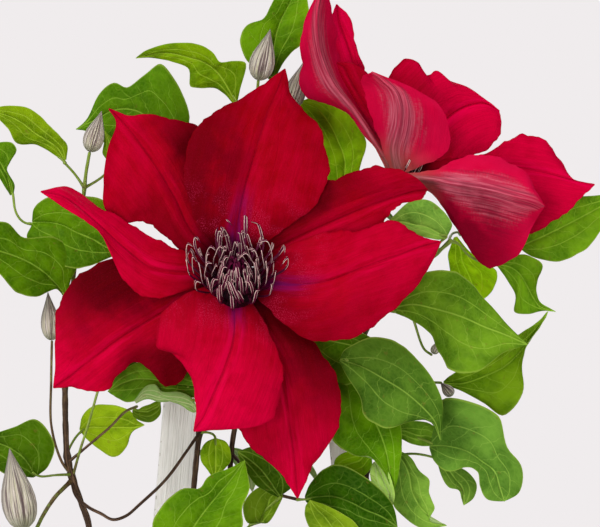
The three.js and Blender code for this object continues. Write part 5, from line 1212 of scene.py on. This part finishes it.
def petal_finish(colours):
    """Velvety crimson with fine grooves, a violet flush at the claw and a pink-grey bar on the back, with
    painted shade on one side, on shaded feet, in the rib's crease and towards the heart, and painted pink
    highlights on the rib's flanks.
    """
    def draw(bench, place):
        u, v, x = (place[k] for k in ("Along", "Across", "Width"))
        a, off = bench.unsigned(v), bench.unsigned(x)
        # the tint holds the violet flush, the pinkness (below zero: painted shade) and the side and strength of
        # the painted shade
        violet, pinkness_and_shade, side = bench.split(place["Tint"])
        fine, broad, rows = (bench.streaks(place, *lines) for lines in ((0.7, 22.0), (2.6, 9.0), (1.2, 40.0)))
        cloud, blot, grain = (bench.clouds(place, size) for size in (11.0, 6.0, 0.42))
        veins = bench.use(veins_group(), {"Across": v, "Width": x, "Length": place["Length"], "Arch": 0.3,
                                          "Spacing": 9.0, "Net size": 1.6, "Seed": place["Seed"]})
        pink = bench.times(bench.band(u, 0.1, 1.0), pinkness_and_shade)
        pink = bench.total(pink, (cloud, 0.28), (blot, 0.1), (broad, 0.16))
        # painted shade on the side that lies in its neighbour's shade and on a foot that lies under other
        # petals, and the
        #         violet flush at the claw
        turned = bench.total(bench.times(bench.math("SIGN", side), v), (bench.minus(cloud, 0.5), 0.5))
        shade = bench.times(bench.band(turned, -0.1, 0.75), bench.unsigned(side))
        shade = bench.times(shade, bench.band(u, 0.82, 0.45))
        foot = bench.times(bench.times(bench.band(u, 0.66, 0.3), bench.band(a, 0.12, 0.6)), violet)
        claw = bench.times(bench.band(u, 0.4, 0.14), bench.band(off, 6.5, 0.6))
        claw = bench.times(claw, bench.times(violet, bench.band(broad, -0.3, 1.0)))
        # the rib's crease, darkened as painted shade, between its two flanks with painted pink highlights
        flank_highlight = bench.times(bench.band(off, 0.5, 1.2), bench.band(off, 5.0, 1.6, 0.0, 0.4))
        flank_highlight = bench.times(flank_highlight, bench.total(0.35, (pinkness_and_shade, 1.2)))
        crease = bench.times(bench.band(off, 0.75, 0.2, 0.0, 0.36), bench.band(fine, 0.0, 0.6, 0.4, 1.0))
        # pollen dust near the heart
        dust = bench.times(bench.band(u, 0.4, 0.12), bench.band(violet, 0.5, 0.8))
        dust = bench.times(dust, bench.band(cloud, 0.3, 0.8))
        deep = bench.toned(colours.petal, 0.55, 0.4, 0.6)
        front = bench.coats(
            bench.mix(pink, colours.petal, colours.petal_tip),
            (bench.band(blot, 0.5, 0.0, 0.0, 0.1), paint(112, 0, 8)),
            # below zero, the pinkness paints shade over the whole face
            (bench.times(pinkness_and_shade, -1.0), paint(96, 0, 8)),
            # painted shade on the side in a neighbour's shade
            (bench.times(shade, 0.88), paint(66, 0, 4)),
            # painted shade on a foot under other petals
            (bench.times(foot, -1.0), paint(72, 0, 4)),
            (bench.times(fine, 0.2), deep),
            # painted pink highlights on the rib's flanks, then painted shade in its crease
            (bench.times(flank_highlight, bench.band(broad, 0.1, 0.9)), paint(216, 0, 66)),
            (crease, paint(98, 0, 22)),
            (bench.band(grain, 0.6, 1.0, 0.0, 0.06), paint(224, 40, 90)),
            (bench.times(bench.band(grain, 0.66, 0.84), bench.times(dust, 0.8)), paint(212, 52, 96)),
            # painted shade towards the heart
            (bench.band(u, 0.34, 0.06, 0.0, 0.5), paint(90, 0, 10)),
            (claw, colours.claw),
            # nearly black painted shade right at the heart
            (bench.band(u, 0.17, 0.07, 0.0, 0.85), paint(30, 0, 8)),
            (bench.band(a, 0.955, 0.995, 0.0, 0.35), deep),
        )
        # the back's pale bar, frayed at its sides
        fringe = bench.streaks(place, 0.5, 5.0, "Length", "Width")
        bar = bench.band(bench.total(a, (broad, 0.16), (fringe, 0.12)), 0.72, 0.34)
        bar = bench.times(bar, bench.band(u, 1.0, 0.35, 0.45, 0.9))
        lines = bench.times(bench.band(rows, 0.55, 0.95), bench.band(a, 0.8, 0.2, 0.0, 0.55))
        back = bench.coats(
            bench.mix(bench.times(cloud, 0.5), paint(200, 4, 56), paint(214, 20, 74)),
            (bar, bench.mix(fine, paint(172, 44, 74), paint(206, 106, 126))),
            (lines, paint(118, 24, 50)),
            # painted shade on the back's shaded side
            (bench.times(shade, 0.7), paint(80, 0, 12)),
            (bench.band(u, 0.3, 0.02, 0.0, 0.45), paint(150, 120, 100)),
        )
        colour = bench.mix(bench.band(place["Side"], 0.4, 0.6), front, back)
        groove = bench.larger(veins["Rib"], bench.times(veins["Side veins"], 0.6))
        quilt = bench.total(0.0, (broad, 0.16), (fine, 0.08), (groove, -0.32), (grain, 0.06), (blot, 0.12))
        return bench.surface(colour, (cloud, 0.0, 1.0, 0.46, 0.62), quilt, 0.00035, 0.01)
    return finish("Crimson petal", draw)


def leaf_finish():
    """A green blade with paler veins, a duller underside, browning spots here and there, painted shade towards
    its foot and a pale rim that is partly painted highlight.
    """
    def draw(bench, place):
        u, v, green = (place[k] for k in ("Along", "Across", "Tint"))
        a = bench.unsigned(v)
        broad, cloud, grain = (bench.clouds(place, size) for size in (19.0, 7.0, 0.8))
        spots = bench.clouds(place, 2.6, bench.plus(place["Seed"], 7.0))
        veins = bench.use(veins_group(), {"Across": v, "Width": place["Width"], "Length": place["Length"],
                                          "Net size": 2.0, "Seed": place["Seed"]})
        lines = bench.larger(veins["Rib"], bench.times(veins["Side veins"], 0.75))
        finer = bench.larger(bench.times(veins["Branches"], 0.6), bench.times(veins["Net"], 0.12))
        lines = bench.larger(lines, finer)
        dark, light = bench.toned(green, 0.5, 0.6, 0.46), bench.toned(green, 1.34, 1.26, 1.2)
        patches = bench.band(bench.total(0.0, (cloud, 0.3), (broad, 0.75)), 0.14, 0.92)
        top = bench.coats(
            bench.mix(patches, dark, light),
            # painted shade towards the blade's foot
            (bench.band(u, 0.3, 0.0, 0.0, 0.4), dark),
            (bench.band(a, 0.14, 0.03, 0.0, 0.35), dark),
            (bench.times(grain, 0.24), light),
            (bench.times(lines, 0.85), bench.mix(0.35, bench.toned(green, 1.9, 1.6, 1.9), paint(164, 196, 84))),
        )
        under = bench.coats(green, (0.5, paint(150, 172, 118)), (bench.times(lines, 0.7), paint(186, 200, 140)))
        colour = bench.coats(
            top,
            (bench.band(place["Side"], 0.4, 0.6), under),
            # a pale yellow-green rim, strengthened as painted highlight where light catches the edge
            (bench.band(a, 0.94, 0.99, 0.0, 0.5), paint(158, 182, 72)),
            (bench.band(spots, 0.96, 1.0, 0.0, 0.3), paint(118, 92, 40)),
        )
        height = bench.total(0.0, (lines, -0.35), (cloud, 0.3), (grain, 0.1))
        return bench.surface(colour, (cloud, 0.0, 1.0, 0.4, 0.58), height, 0.0004, 0.02)
    return finish("Leaf blade", draw)


def stem_finish(colours):
    """Green, purple-flushed or woody, by the stem's age, with fibres running along it."""
    def draw(bench, place):
        fibre = bench.streaks(place, 0.55, 26.0)
        patch = bench.clouds(place, 3.4)
        age = bench.total(place["Side"], (bench.minus(patch, 0.5), 0.24))
        green = bench.mix(fibre, colours.young_stem, bench.mix(0.4, colours.young_stem, paint(186, 206, 110)))
        flush = bench.mix(fibre, paint(98, 82, 46), paint(128, 96, 66))
        bark = bench.mix(bench.band(fibre, 0.45, 1.0), colours.old_stem, paint(112, 84, 62))
        colour = bench.coats(green, (bench.band(age, 0.2, 0.55), flush), (bench.band(age, 0.5, 0.85), bark))
        height = bench.total(fibre, (patch, 0.4))
        return bench.surface(colour, (age, 0.3, 0.9, 0.45, 0.72), height, 0.00022, 0.35)
    return finish("Stem", draw)


def thread_finish(colours):
    """Glossy maroon threads, purpler towards their tips, with painted shade, nearly black, at their feet."""
    def draw(bench, place):
        u, patch = place["Along"], bench.clouds(place, 1.6)
        colour = bench.coats(
            bench.mix(bench.band(u, 0.15, 0.8), colours.thread, paint(100, 16, 58)),
            (bench.times(patch, 0.3), paint(66, 8, 34)),
            # painted shade, nearly black, at the threads' feet
            (bench.band(u, 0.55, 0.12, 0.0, 0.92), paint(14, 0, 6)),
        )
        return bench.surface(colour, (patch, 0.0, 1.0, 0.38, 0.55), patch, 0.0001, 0.12)
    return finish("Maroon thread", draw)


def closed_shaded_finish():
    """Closed threads over the heart, painted nearly black as shade, with plum edges."""
    def draw(bench, place):
        edge = bench.streaks(place, 0.8, 14.0)
        # nearly black painted shade, with plum along the streaks
        colour = bench.mix(bench.band(edge, 0.45, 0.9), paint(22, 2, 10), paint(86, 14, 46))
        return bench.surface(colour, (edge, 0.0, 1.0, 0.45, 0.6), edge, 0.0004, 0.08)
    return finish("Closed thread in painted shade", draw)


def pollen_finish(colours):
    """Dry cream-grey pollen sacs, mauve where they are thin."""
    def draw(bench, place):
        patch = bench.clouds(place, 0.9)
        colour = bench.mix(patch, colours.pollen, paint(236, 198, 190))
        return bench.surface(colour, (patch, 0.0, 1.0, 0.6, 0.8), patch, 0.00012, 0.25)
    return finish("Pollen sac", draw)


def bud_finish(colours):
    """Silky silver-green with mauve ribs and a greener foot."""
    def draw(bench, place):
        u = place["Along"]
        fine, broad, rows = (bench.streaks(place, *lines) for lines in ((0.45, 24.0), (1.3, 16.0), (0.7, 40.0)))
        turn = bench.times(place["Across"], 4 * math.pi)
        seam = bench.band(bench.unsigned(bench.math("SINE", turn)), 0.3, 0.0)
        colour = bench.coats(
            colours.bud,
            (bench.times(broad, 0.7), paint(196, 178, 168)),
            (bench.times(fine, 0.65), paint(240, 230, 226)),
            (bench.band(rows, 0.5, 0.8, 0.0, 0.9), paint(100, 76, 78)),
            (bench.times(seam, 0.65), paint(96, 74, 76)),
            (bench.band(u, 0.25, 0.0, 0.0, 0.5), paint(140, 156, 96)),
            (bench.band(u, 0.8, 1.0, 0.0, 0.5), paint(206, 186, 182)),
        )
        height = bench.minus(bench.plus(fine, broad), seam)
        return {**bench.surface(colour, (fine, 0.0, 1.0, 0.5, 0.75), height, 0.0003, 0.3),
                "Sheen Weight": 0.35, "Sheen Roughness": 0.5, "Sheen Tint": paint(236, 232, 226)}
    return finish("Silky bud", draw)


def lath_finish(colours):
    """Off-white paint over sawn wood: brush lines, raised grain and bare, weathered edges."""
    def draw(bench, place):
        grain, brush = bench.streaks(place, 1.7, 30.0), bench.streaks(place, 0.5, 60.0)
        dirt, chip = bench.clouds(place, 16.0), bench.clouds(place, 2.2)
        worn = bench.band(bench.total(place["Across"], (chip, 0.7)), 1.15, 1.45)
        colour = bench.coats(
            colours.lath,
            (grain, bench.toned(colours.lath, 0.94, 0.94, 0.93)),
            (bench.times(brush, 0.25), paint(238, 236, 230)),
            (bench.times(dirt, 0.12), paint(216, 213, 202)),
            (worn, bench.mix(grain, paint(150, 128, 102), paint(112, 94, 76))),
        )
        height = bench.minus(bench.total(grain, (brush, 0.4)), worn)
        return bench.surface(colour, (dirt, 0.0, 1.0, 0.5, 0.7), height, 0.00025, 0.35)
    return finish("Painted lath", draw)


def clay_finish(colours):
    """Fired clay with paler bloom near the foot and rim, pores and faint turning lines."""
    def draw(bench, place):
        level = bench.split(place["Plan"])[2]
        cloud, fine = bench.clouds(place, 26.0, 3.0), bench.clouds(place, 1.1, 5.0)
        turned = bench.noise(bench.spot(0.0, 0.0, bench.times(level, 0.9)), 3.0)
        bloom = bench.times(bench.band(level, 34.0, 2.0), bench.band(cloud, 0.1, 0.9))
        bloom = bench.total(bloom, (bench.band(level, 138.0, 150.0), 0.5))
        pores = bench.band(fine, 0.86, 0.98)
        colour = bench.coats(
            colours.clay,
            (cloud, paint(198, 122, 88)),
            (bench.times(bench.band(turned, 0.35, 0.65), 0.3), paint(160, 84, 56)),
            (bench.times(bloom, 0.55), paint(222, 196, 172)),
            (bench.times(pores, 0.5), paint(120, 62, 42)),
        )
        height = bench.minus(bench.total(0.0, (fine, 0.35), (turned, 0.8)), pores)
        return bench.surface(colour, (cloud, 0.0, 1.0, 0.72, 0.88), height, 0.0004, 0.3)
    return finish("Fired clay", draw)


def soil_finish(colours):
    """Dark damp crumbs with paler fibres and grit."""
    def draw(bench, place):
        lump = bench.split(place["Tint"])[0]
        crumb, damp, fine = (bench.clouds(place, *cloud) for cloud in ((1.6, 2.0), (22.0, 9.0), (0.5, 4.0)))
        colour = bench.coats(
            colours.soil,
            (crumb, paint(92, 68, 50)),
            (bench.times(damp, 0.5), paint(38, 26, 20)),
            (bench.times(bench.band(lump, 0.7, 0.95), 0.6), paint(134, 104, 76)),
            (bench.times(bench.band(fine, 0.9, 1.0), 0.7), paint(188, 176, 150)),
        )
        height = bench.total(crumb, (fine, 0.5))
        return bench.surface(colour, (damp, 0.0, 1.0, 0.95, 0.8), height, 0.0009, 0.2)
    return finish("Potting soil", draw)


def floor_finish(colours):
    """A plain pale floor with the faintest unevenness, clear again far out."""
    def draw(bench, place):
        cloud = bench.clouds(place, 240.0, 1.0)
        colour = bench.mix(cloud, colours.floor, bench.toned(colours.floor, 0.98, 0.98, 0.98))
        far = bench.put("ShaderNodeVectorMath", {0: place["Plan"]}, operation="LENGTH").outputs["Value"]
        return {"Base Color": colour, "Roughness": bench.band(cloud, 0.0, 1.0, 0.7, 0.76),
                "Specular IOR Level": 0.2, "Alpha": bench.band(far, 450.0, 1500.0, 1.0, 0.0)}
    return finish("Pale floor", draw)


# ---- what a user can change ----
def length_of(name, text, default, low, high):
    """A length that a user can set, in metres."""
    return bpy.props.FloatProperty(name=name, description=text, default=default, min=low, max=high,
                                   unit="LENGTH", subtype="DISTANCE", precision=5)


def share_of(name, text, default, high=3.0):
    """A share of the drawn amount that a user can set."""
    return bpy.props.FloatProperty(name=name, description=text, default=default, min=0.0, max=high,
                                   subtype="FACTOR")


def colour_of(name, text, red, green, blue):
    """A colour that a user can set."""
    return bpy.props.FloatVectorProperty(name=name, description=text, size=4, subtype="COLOR", min=0.0, max=1.0,
                                         default=paint(red, green, blue))


class ClematisSizes(bpy.types.PropertyGroup):
    """Thicknesses, ruffles, girth and light."""
    petal_thickness: length_of("Petal thickness", "How thick a petal is in its middle", 0.00035, 0.0001, 0.0007)
    petal_ruffle: share_of("Petal ruffle", "How much the petals' edges wave", 1.0)
    leaf_thickness: length_of("Leaf thickness", "How thick a leaf is in its middle", 0.00035, 0.0001, 0.0007)
    leaf_ruffle: share_of("Leaf ruffle", "How much the leaves' edges wave", 1.0)
    stem_scale: share_of("Stem girth", "How thick the stems are against their drawn size", 1.0, 1.2)
    light: share_of("Light", "How bright the studio light is", 1.0)


class ClematisColours(bpy.types.PropertyGroup):
    """The colours that the finishes start from."""
    petal: colour_of("Petal", "The petals' crimson", 158, 0, 16)
    petal_tip: colour_of("Petal tip", "The pinker crimson towards the tips", 206, 0, 54)
    claw: colour_of("Petal claw", "The violet flush at the petals' claws", 112, 16, 92)
    thread: colour_of("Threads", "The stamens' maroon threads", 62, 4, 28)
    pollen: colour_of("Pollen sacs", "The cream-pink pollen sacs", 254, 230, 222)
    bud: colour_of("Buds", "The buds' silver-green", 204, 202, 164)
    young_stem: colour_of("Young stems", "The green of the youngest stems", 128, 160, 44)
    old_stem: colour_of("Old stems", "The brown of the woody stems", 62, 42, 28)
    lath: colour_of("Laths", "The trellis's off-white paint", 253, 252, 249)
    clay: colour_of("Pot", "The pot's fired clay", 182, 100, 68)
    soil: colour_of("Soil", "The potting soil", 62, 44, 32)
    floor: colour_of("Floor", "The pale floor", 240, 237, 237)


# ---- steps ----
class Step:
    """What the operators share: each makes its pieces from the sizes and colours of the sidebar."""
    bl_options = {"REGISTER", "UNDO"}

    def execute(self, context):
        self.make(context.scene.clematis_sizes, context.scene.clematis_colours)
        return {"FINISHED"}


class CLEMATIS_OT_pot(Step, bpy.types.Operator):
    """Throw the clay pot"""
    bl_idname = "clematis.pot"
    bl_label = "Pot"

    def make(self, sizes, colours):
        piece = Piece()
        add_pot(piece)
        piece.build("clay_pot", ["pot"], [clay_finish(colours)], crease=50)


class CLEMATIS_OT_soil(Step, bpy.types.Operator):
    """Fill the pot with crumbly soil"""
    bl_idname = "clematis.soil"
    bl_label = "Soil"

    def make(self, sizes, colours):
        piece = Piece()
        add_soil(piece)
        piece.build("potting_soil", ["soil"], [soil_finish(colours)], crease=None)


class CLEMATIS_OT_trellis(Step, bpy.types.Operator):
    """Nail the rungs across the two leaning uprights"""
    bl_idname = "clematis.trellis"
    bl_label = "Trellis"

    def make(self, sizes, colours):
        coat = lath_finish(colours)
        y = LATH["back"] - LATH["depth"] / 2
        for k, side in enumerate(("left", "right")):
            piece = Piece()
            ends = [np.array([upright_x(side, z), y, z]) for z in (LATH["foot"], LATH["top"])]
            along = unit(ends[1] - ends[0])
            across = unit(np.cross(VIEW, along))
            add_lath(piece, ends[0], ends[1], across, VIEW, LATH["width"], LATH["depth"], 60 + k)
            piece.build(f"lath_upright_{side}", [f"trellis_upright_{side}"], [coat], crease=40)
        for k, z in enumerate(RUNG["levels"]):
            piece = Piece()
            reach = LATH["width"] / 2 + RUNG["overhang"]
            y = LATH["back"] + SEAT + RUNG["depth"] / 2
            ends = [[upright_x("left", z) - reach, y, z], [upright_x("right", z) + reach, y, z]]
            add_lath(piece, ends[0], ends[1], UP, VIEW, RUNG["height"], RUNG["depth"], 70 + k)
            piece.build(f"lath_rung_{k + 1}", [f"trellis_rung_{k + 1}"], [coat], crease=40)


class CLEMATIS_OT_stems(Step, bpy.types.Operator):
    """Twine the stems up the trellis"""
    bl_idname = "clematis.stems"
    bl_label = "Stems"

    def make(self, sizes, colours):
        bark = stem_finish(colours)
        girth = sizes.stem_scale
        forks = [stalks[0][0] for _, stalks, *_ in LEAVES.values()] + [start for start, *_ in SPRAYS.values()]
        for k, (name, vine) in enumerate(VINES.items()):
            piece = Piece()
            (thick, old), (thin, young) = vine["woody"], vine["young"]
            knots = [young[0], *(points[0] for _, points in vine["sides"].values()), *forks]
            add_tube(piece, old, [thick * girth, thick * 0.86 * girth], 0, ages=(1, 0.75), seed=80 + k,
                     sides=12, knots=knots, rough=0.07)
            add_tube(piece, young, [thin * girth, thin * 0.72 * girth], 0, ages=(0.7, 0.2), seed=90 + k,
                     sides=12, knots=knots, rough=0.05)
            for j, (side, (radius, points)) in enumerate(vine["sides"].items()):
                radius *= girth
                add_tube(piece, points, [radius, radius * 0.85, radius * 0.85], 0,
                         ages=SIDE_AGES.get(side, GREEN_SIDE), seed=100 + 10 * k + j, sides=10,
                         knots=points[:1], rough=0.05)
            piece.build(f"stem_{name}", [f"vine_{name}"], [bark])


class CLEMATIS_OT_petals(Step, bpy.types.Operator):
    """Lay the petals of both blooms, with the receptacle behind them"""
    bl_idname = "clematis.petals"
    bl_label = "Petals"

    def make(self, sizes, colours):
        crimson, green, maroon = petal_finish(colours), stem_finish(colours), thread_finish(colours)
        for k, bloom in enumerate(BLOOMS):
            piece = Piece()
            add_petals(piece, bloom, sizes)
            add_receptacle(piece, bloom)
            piece.build(f"petals_{k + 1}", [f"bloom_{k + 1}_tepals"], [crimson, green, maroon])


class CLEMATIS_OT_stamens(Step, bpy.types.Operator):
    """Set the stamens in the blooms' hearts"""
    bl_idname = "clematis.stamens"
    bl_label = "Stamens"

    def make(self, sizes, colours):
        finishes = [thread_finish(colours), pollen_finish(colours), closed_shaded_finish()]
        for k, bloom in enumerate(BLOOMS):
            piece = Piece()
            add_stamens(piece, bloom)
            piece.build(f"stamens_{k + 1}", [f"bloom_{k + 1}_stamens"], finishes)


class CLEMATIS_OT_buds(Step, bpy.types.Operator):
    """Shape the ribbed buds"""
    bl_idname = "clematis.buds"
    bl_label = "Buds"

    def make(self, sizes, colours):
        for k, (name, bud) in enumerate(BUDS.items()):
            piece = Piece()
            add_bud(piece, *bud, 200 + k)
            piece.build(f"silky_{name}", [name], [bud_finish(colours)])


class CLEMATIS_OT_leaves(Step, bpy.types.Operator):
    """Hang the leaves on their stalks"""
    bl_idname = "clematis.leaves"
    bl_label = "Leaves"

    def make(self, sizes, colours):
        for k, (name, (green, stalks, *blades)) in enumerate(LEAVES.items()):
            piece = Piece()
            age = TWIG if name == "leaf_twig_end" else YOUNG
            add_leaves(piece, stalks, blades, green, sizes, 300 + 11 * k, age)
            piece.build(f"green_{name}", [name], [leaf_finish(), stem_finish(colours)])


class CLEMATIS_OT_sprays(Step, bpy.types.Operator):
    """Hang the sprays of three leaflets low on the plant and behind it"""
    bl_idname = "clematis.sprays"
    bl_label = "Sprays"

    def make(self, sizes, colours):
        draw = np.random.default_rng(12)
        for k, (name, spray) in enumerate(SPRAYS.items()):
            piece = Piece()
            green = np.array(SPRAY_GREEN) * draw.uniform(0.85, 1.2)
            add_leaves(piece, *spray_plan(*spray), green, sizes, 700 + 13 * k)
            piece.build(f"green_{name}", [name], [leaf_finish(), stem_finish(colours)])


class CLEMATIS_OT_stage(Step, bpy.types.Operator):
    """Set up the pale floor, the soft light and the camera"""
    bl_idname = "clematis.stage"
    bl_label = "Stage"

    def make(self, sizes, colours):
        scene = bpy.context.scene
        radius, level, sides = FLOOR
        mesh = bpy.data.meshes.new("floor")
        turns = np.linspace(0, 2 * math.pi, sides + 1)[:-1]
        ring = [(radius * math.cos(a), radius * math.sin(a), level) for a in turns]
        mesh.from_pydata(ring, [], [tuple(range(sides))])
        plan = mesh.attributes.new("plan", "FLOAT_VECTOR", "POINT").data
        plan.foreach_set("vector", (np.array(ring) / MM).ravel())
        mesh.materials.append(floor_finish(colours))
        staged = [bpy.data.objects.new("floor", mesh)]
        for name, spot, size, power in LIGHTS:
            lamp = bpy.data.lights.new(name, "AREA")
            lamp.shape = "DISK"
            lamp.size = size
            lamp.energy = power * sizes.light
            lamp.color = LAMP_COLOUR
            light = bpy.data.objects.new(name, lamp)
            light.location = spot
            aim = Vector(LAMP_AIM) - Vector(spot)
            light.rotation_euler = aim.to_track_quat("-Z", "Y").to_euler()
            light.visible_camera = False
            staged.append(light)
        lens = bpy.data.cameras.new("camera")
        lens.lens, lens.sensor_width, lens.clip_end = CAMERA["lens"], CAMERA["sensor"], CAMERA["reach"]
        camera = bpy.data.objects.new("camera", lens)
        camera.location = CAMERA["spot"]
        camera.rotation_euler = (math.pi / 2, 0, 0)
        staged.append(camera)
        for obj in staged:
            scene.collection.objects.link(obj)
        scene.camera = camera
        world = bpy.data.worlds.new("studio")
        world.use_nodes = True
        world.node_tree.nodes.clear()
        bench = Bench(world.node_tree)
        seen, cast = (
            bench.put("ShaderNodeBackground", {"Color": paint(*colour), "Strength": strength}).outputs[0]
            for colour, strength in ((BACKDROP, 1.0), (SKY_COLOUR, SKY)))
        ray = bench.put("ShaderNodeLightPath").outputs["Is Camera Ray"]
        mixed = bench.put("ShaderNodeMixShader", {0: ray, 1: cast, 2: seen}).outputs[0]
        bench.put("ShaderNodeOutputWorld", {"Surface": mixed})
        scene.world = world
        scene.view_settings.view_transform = "Standard"


STEPS = (
    CLEMATIS_OT_pot, CLEMATIS_OT_soil, CLEMATIS_OT_trellis, CLEMATIS_OT_stems, CLEMATIS_OT_petals,
    CLEMATIS_OT_stamens, CLEMATIS_OT_buds, CLEMATIS_OT_leaves, CLEMATIS_OT_sprays, CLEMATIS_OT_stage,
)


class CLEMATIS_PT_sidebar(bpy.types.Panel):
    """Lists the plant's sizes, colours and steps"""
    bl_idname = "CLEMATIS_PT_sidebar"
    bl_label = "Potted clematis"
    bl_space_type = "VIEW_3D"
    bl_region_type = "UI"
    bl_category = "Clematis"

    def draw(self, context):
        for settings in (context.scene.clematis_sizes, context.scene.clematis_colours):
            box = self.layout.box()
            for name in settings.__annotations__:
                box.prop(settings, name)
        for step in STEPS:
            self.layout.operator(step.bl_idname)


def register():
    for kind in (ClematisSizes, ClematisColours, *STEPS, CLEMATIS_PT_sidebar):
        bpy.utils.register_class(kind)
    bpy.types.Scene.clematis_sizes = bpy.props.PointerProperty(type=ClematisSizes)
    bpy.types.Scene.clematis_colours = bpy.props.PointerProperty(type=ClematisColours)


def unregister():
    del bpy.types.Scene.clematis_colours
    del bpy.types.Scene.clematis_sizes
    for kind in reversed((ClematisSizes, ClematisColours, *STEPS, CLEMATIS_PT_sidebar)):
        bpy.utils.unregister_class(kind)


def main():
    register()
    for step in STEPS:
        getattr(bpy.ops.clematis, step.bl_idname.split(".")[1])()


if __name__ == "__main__":
    main()
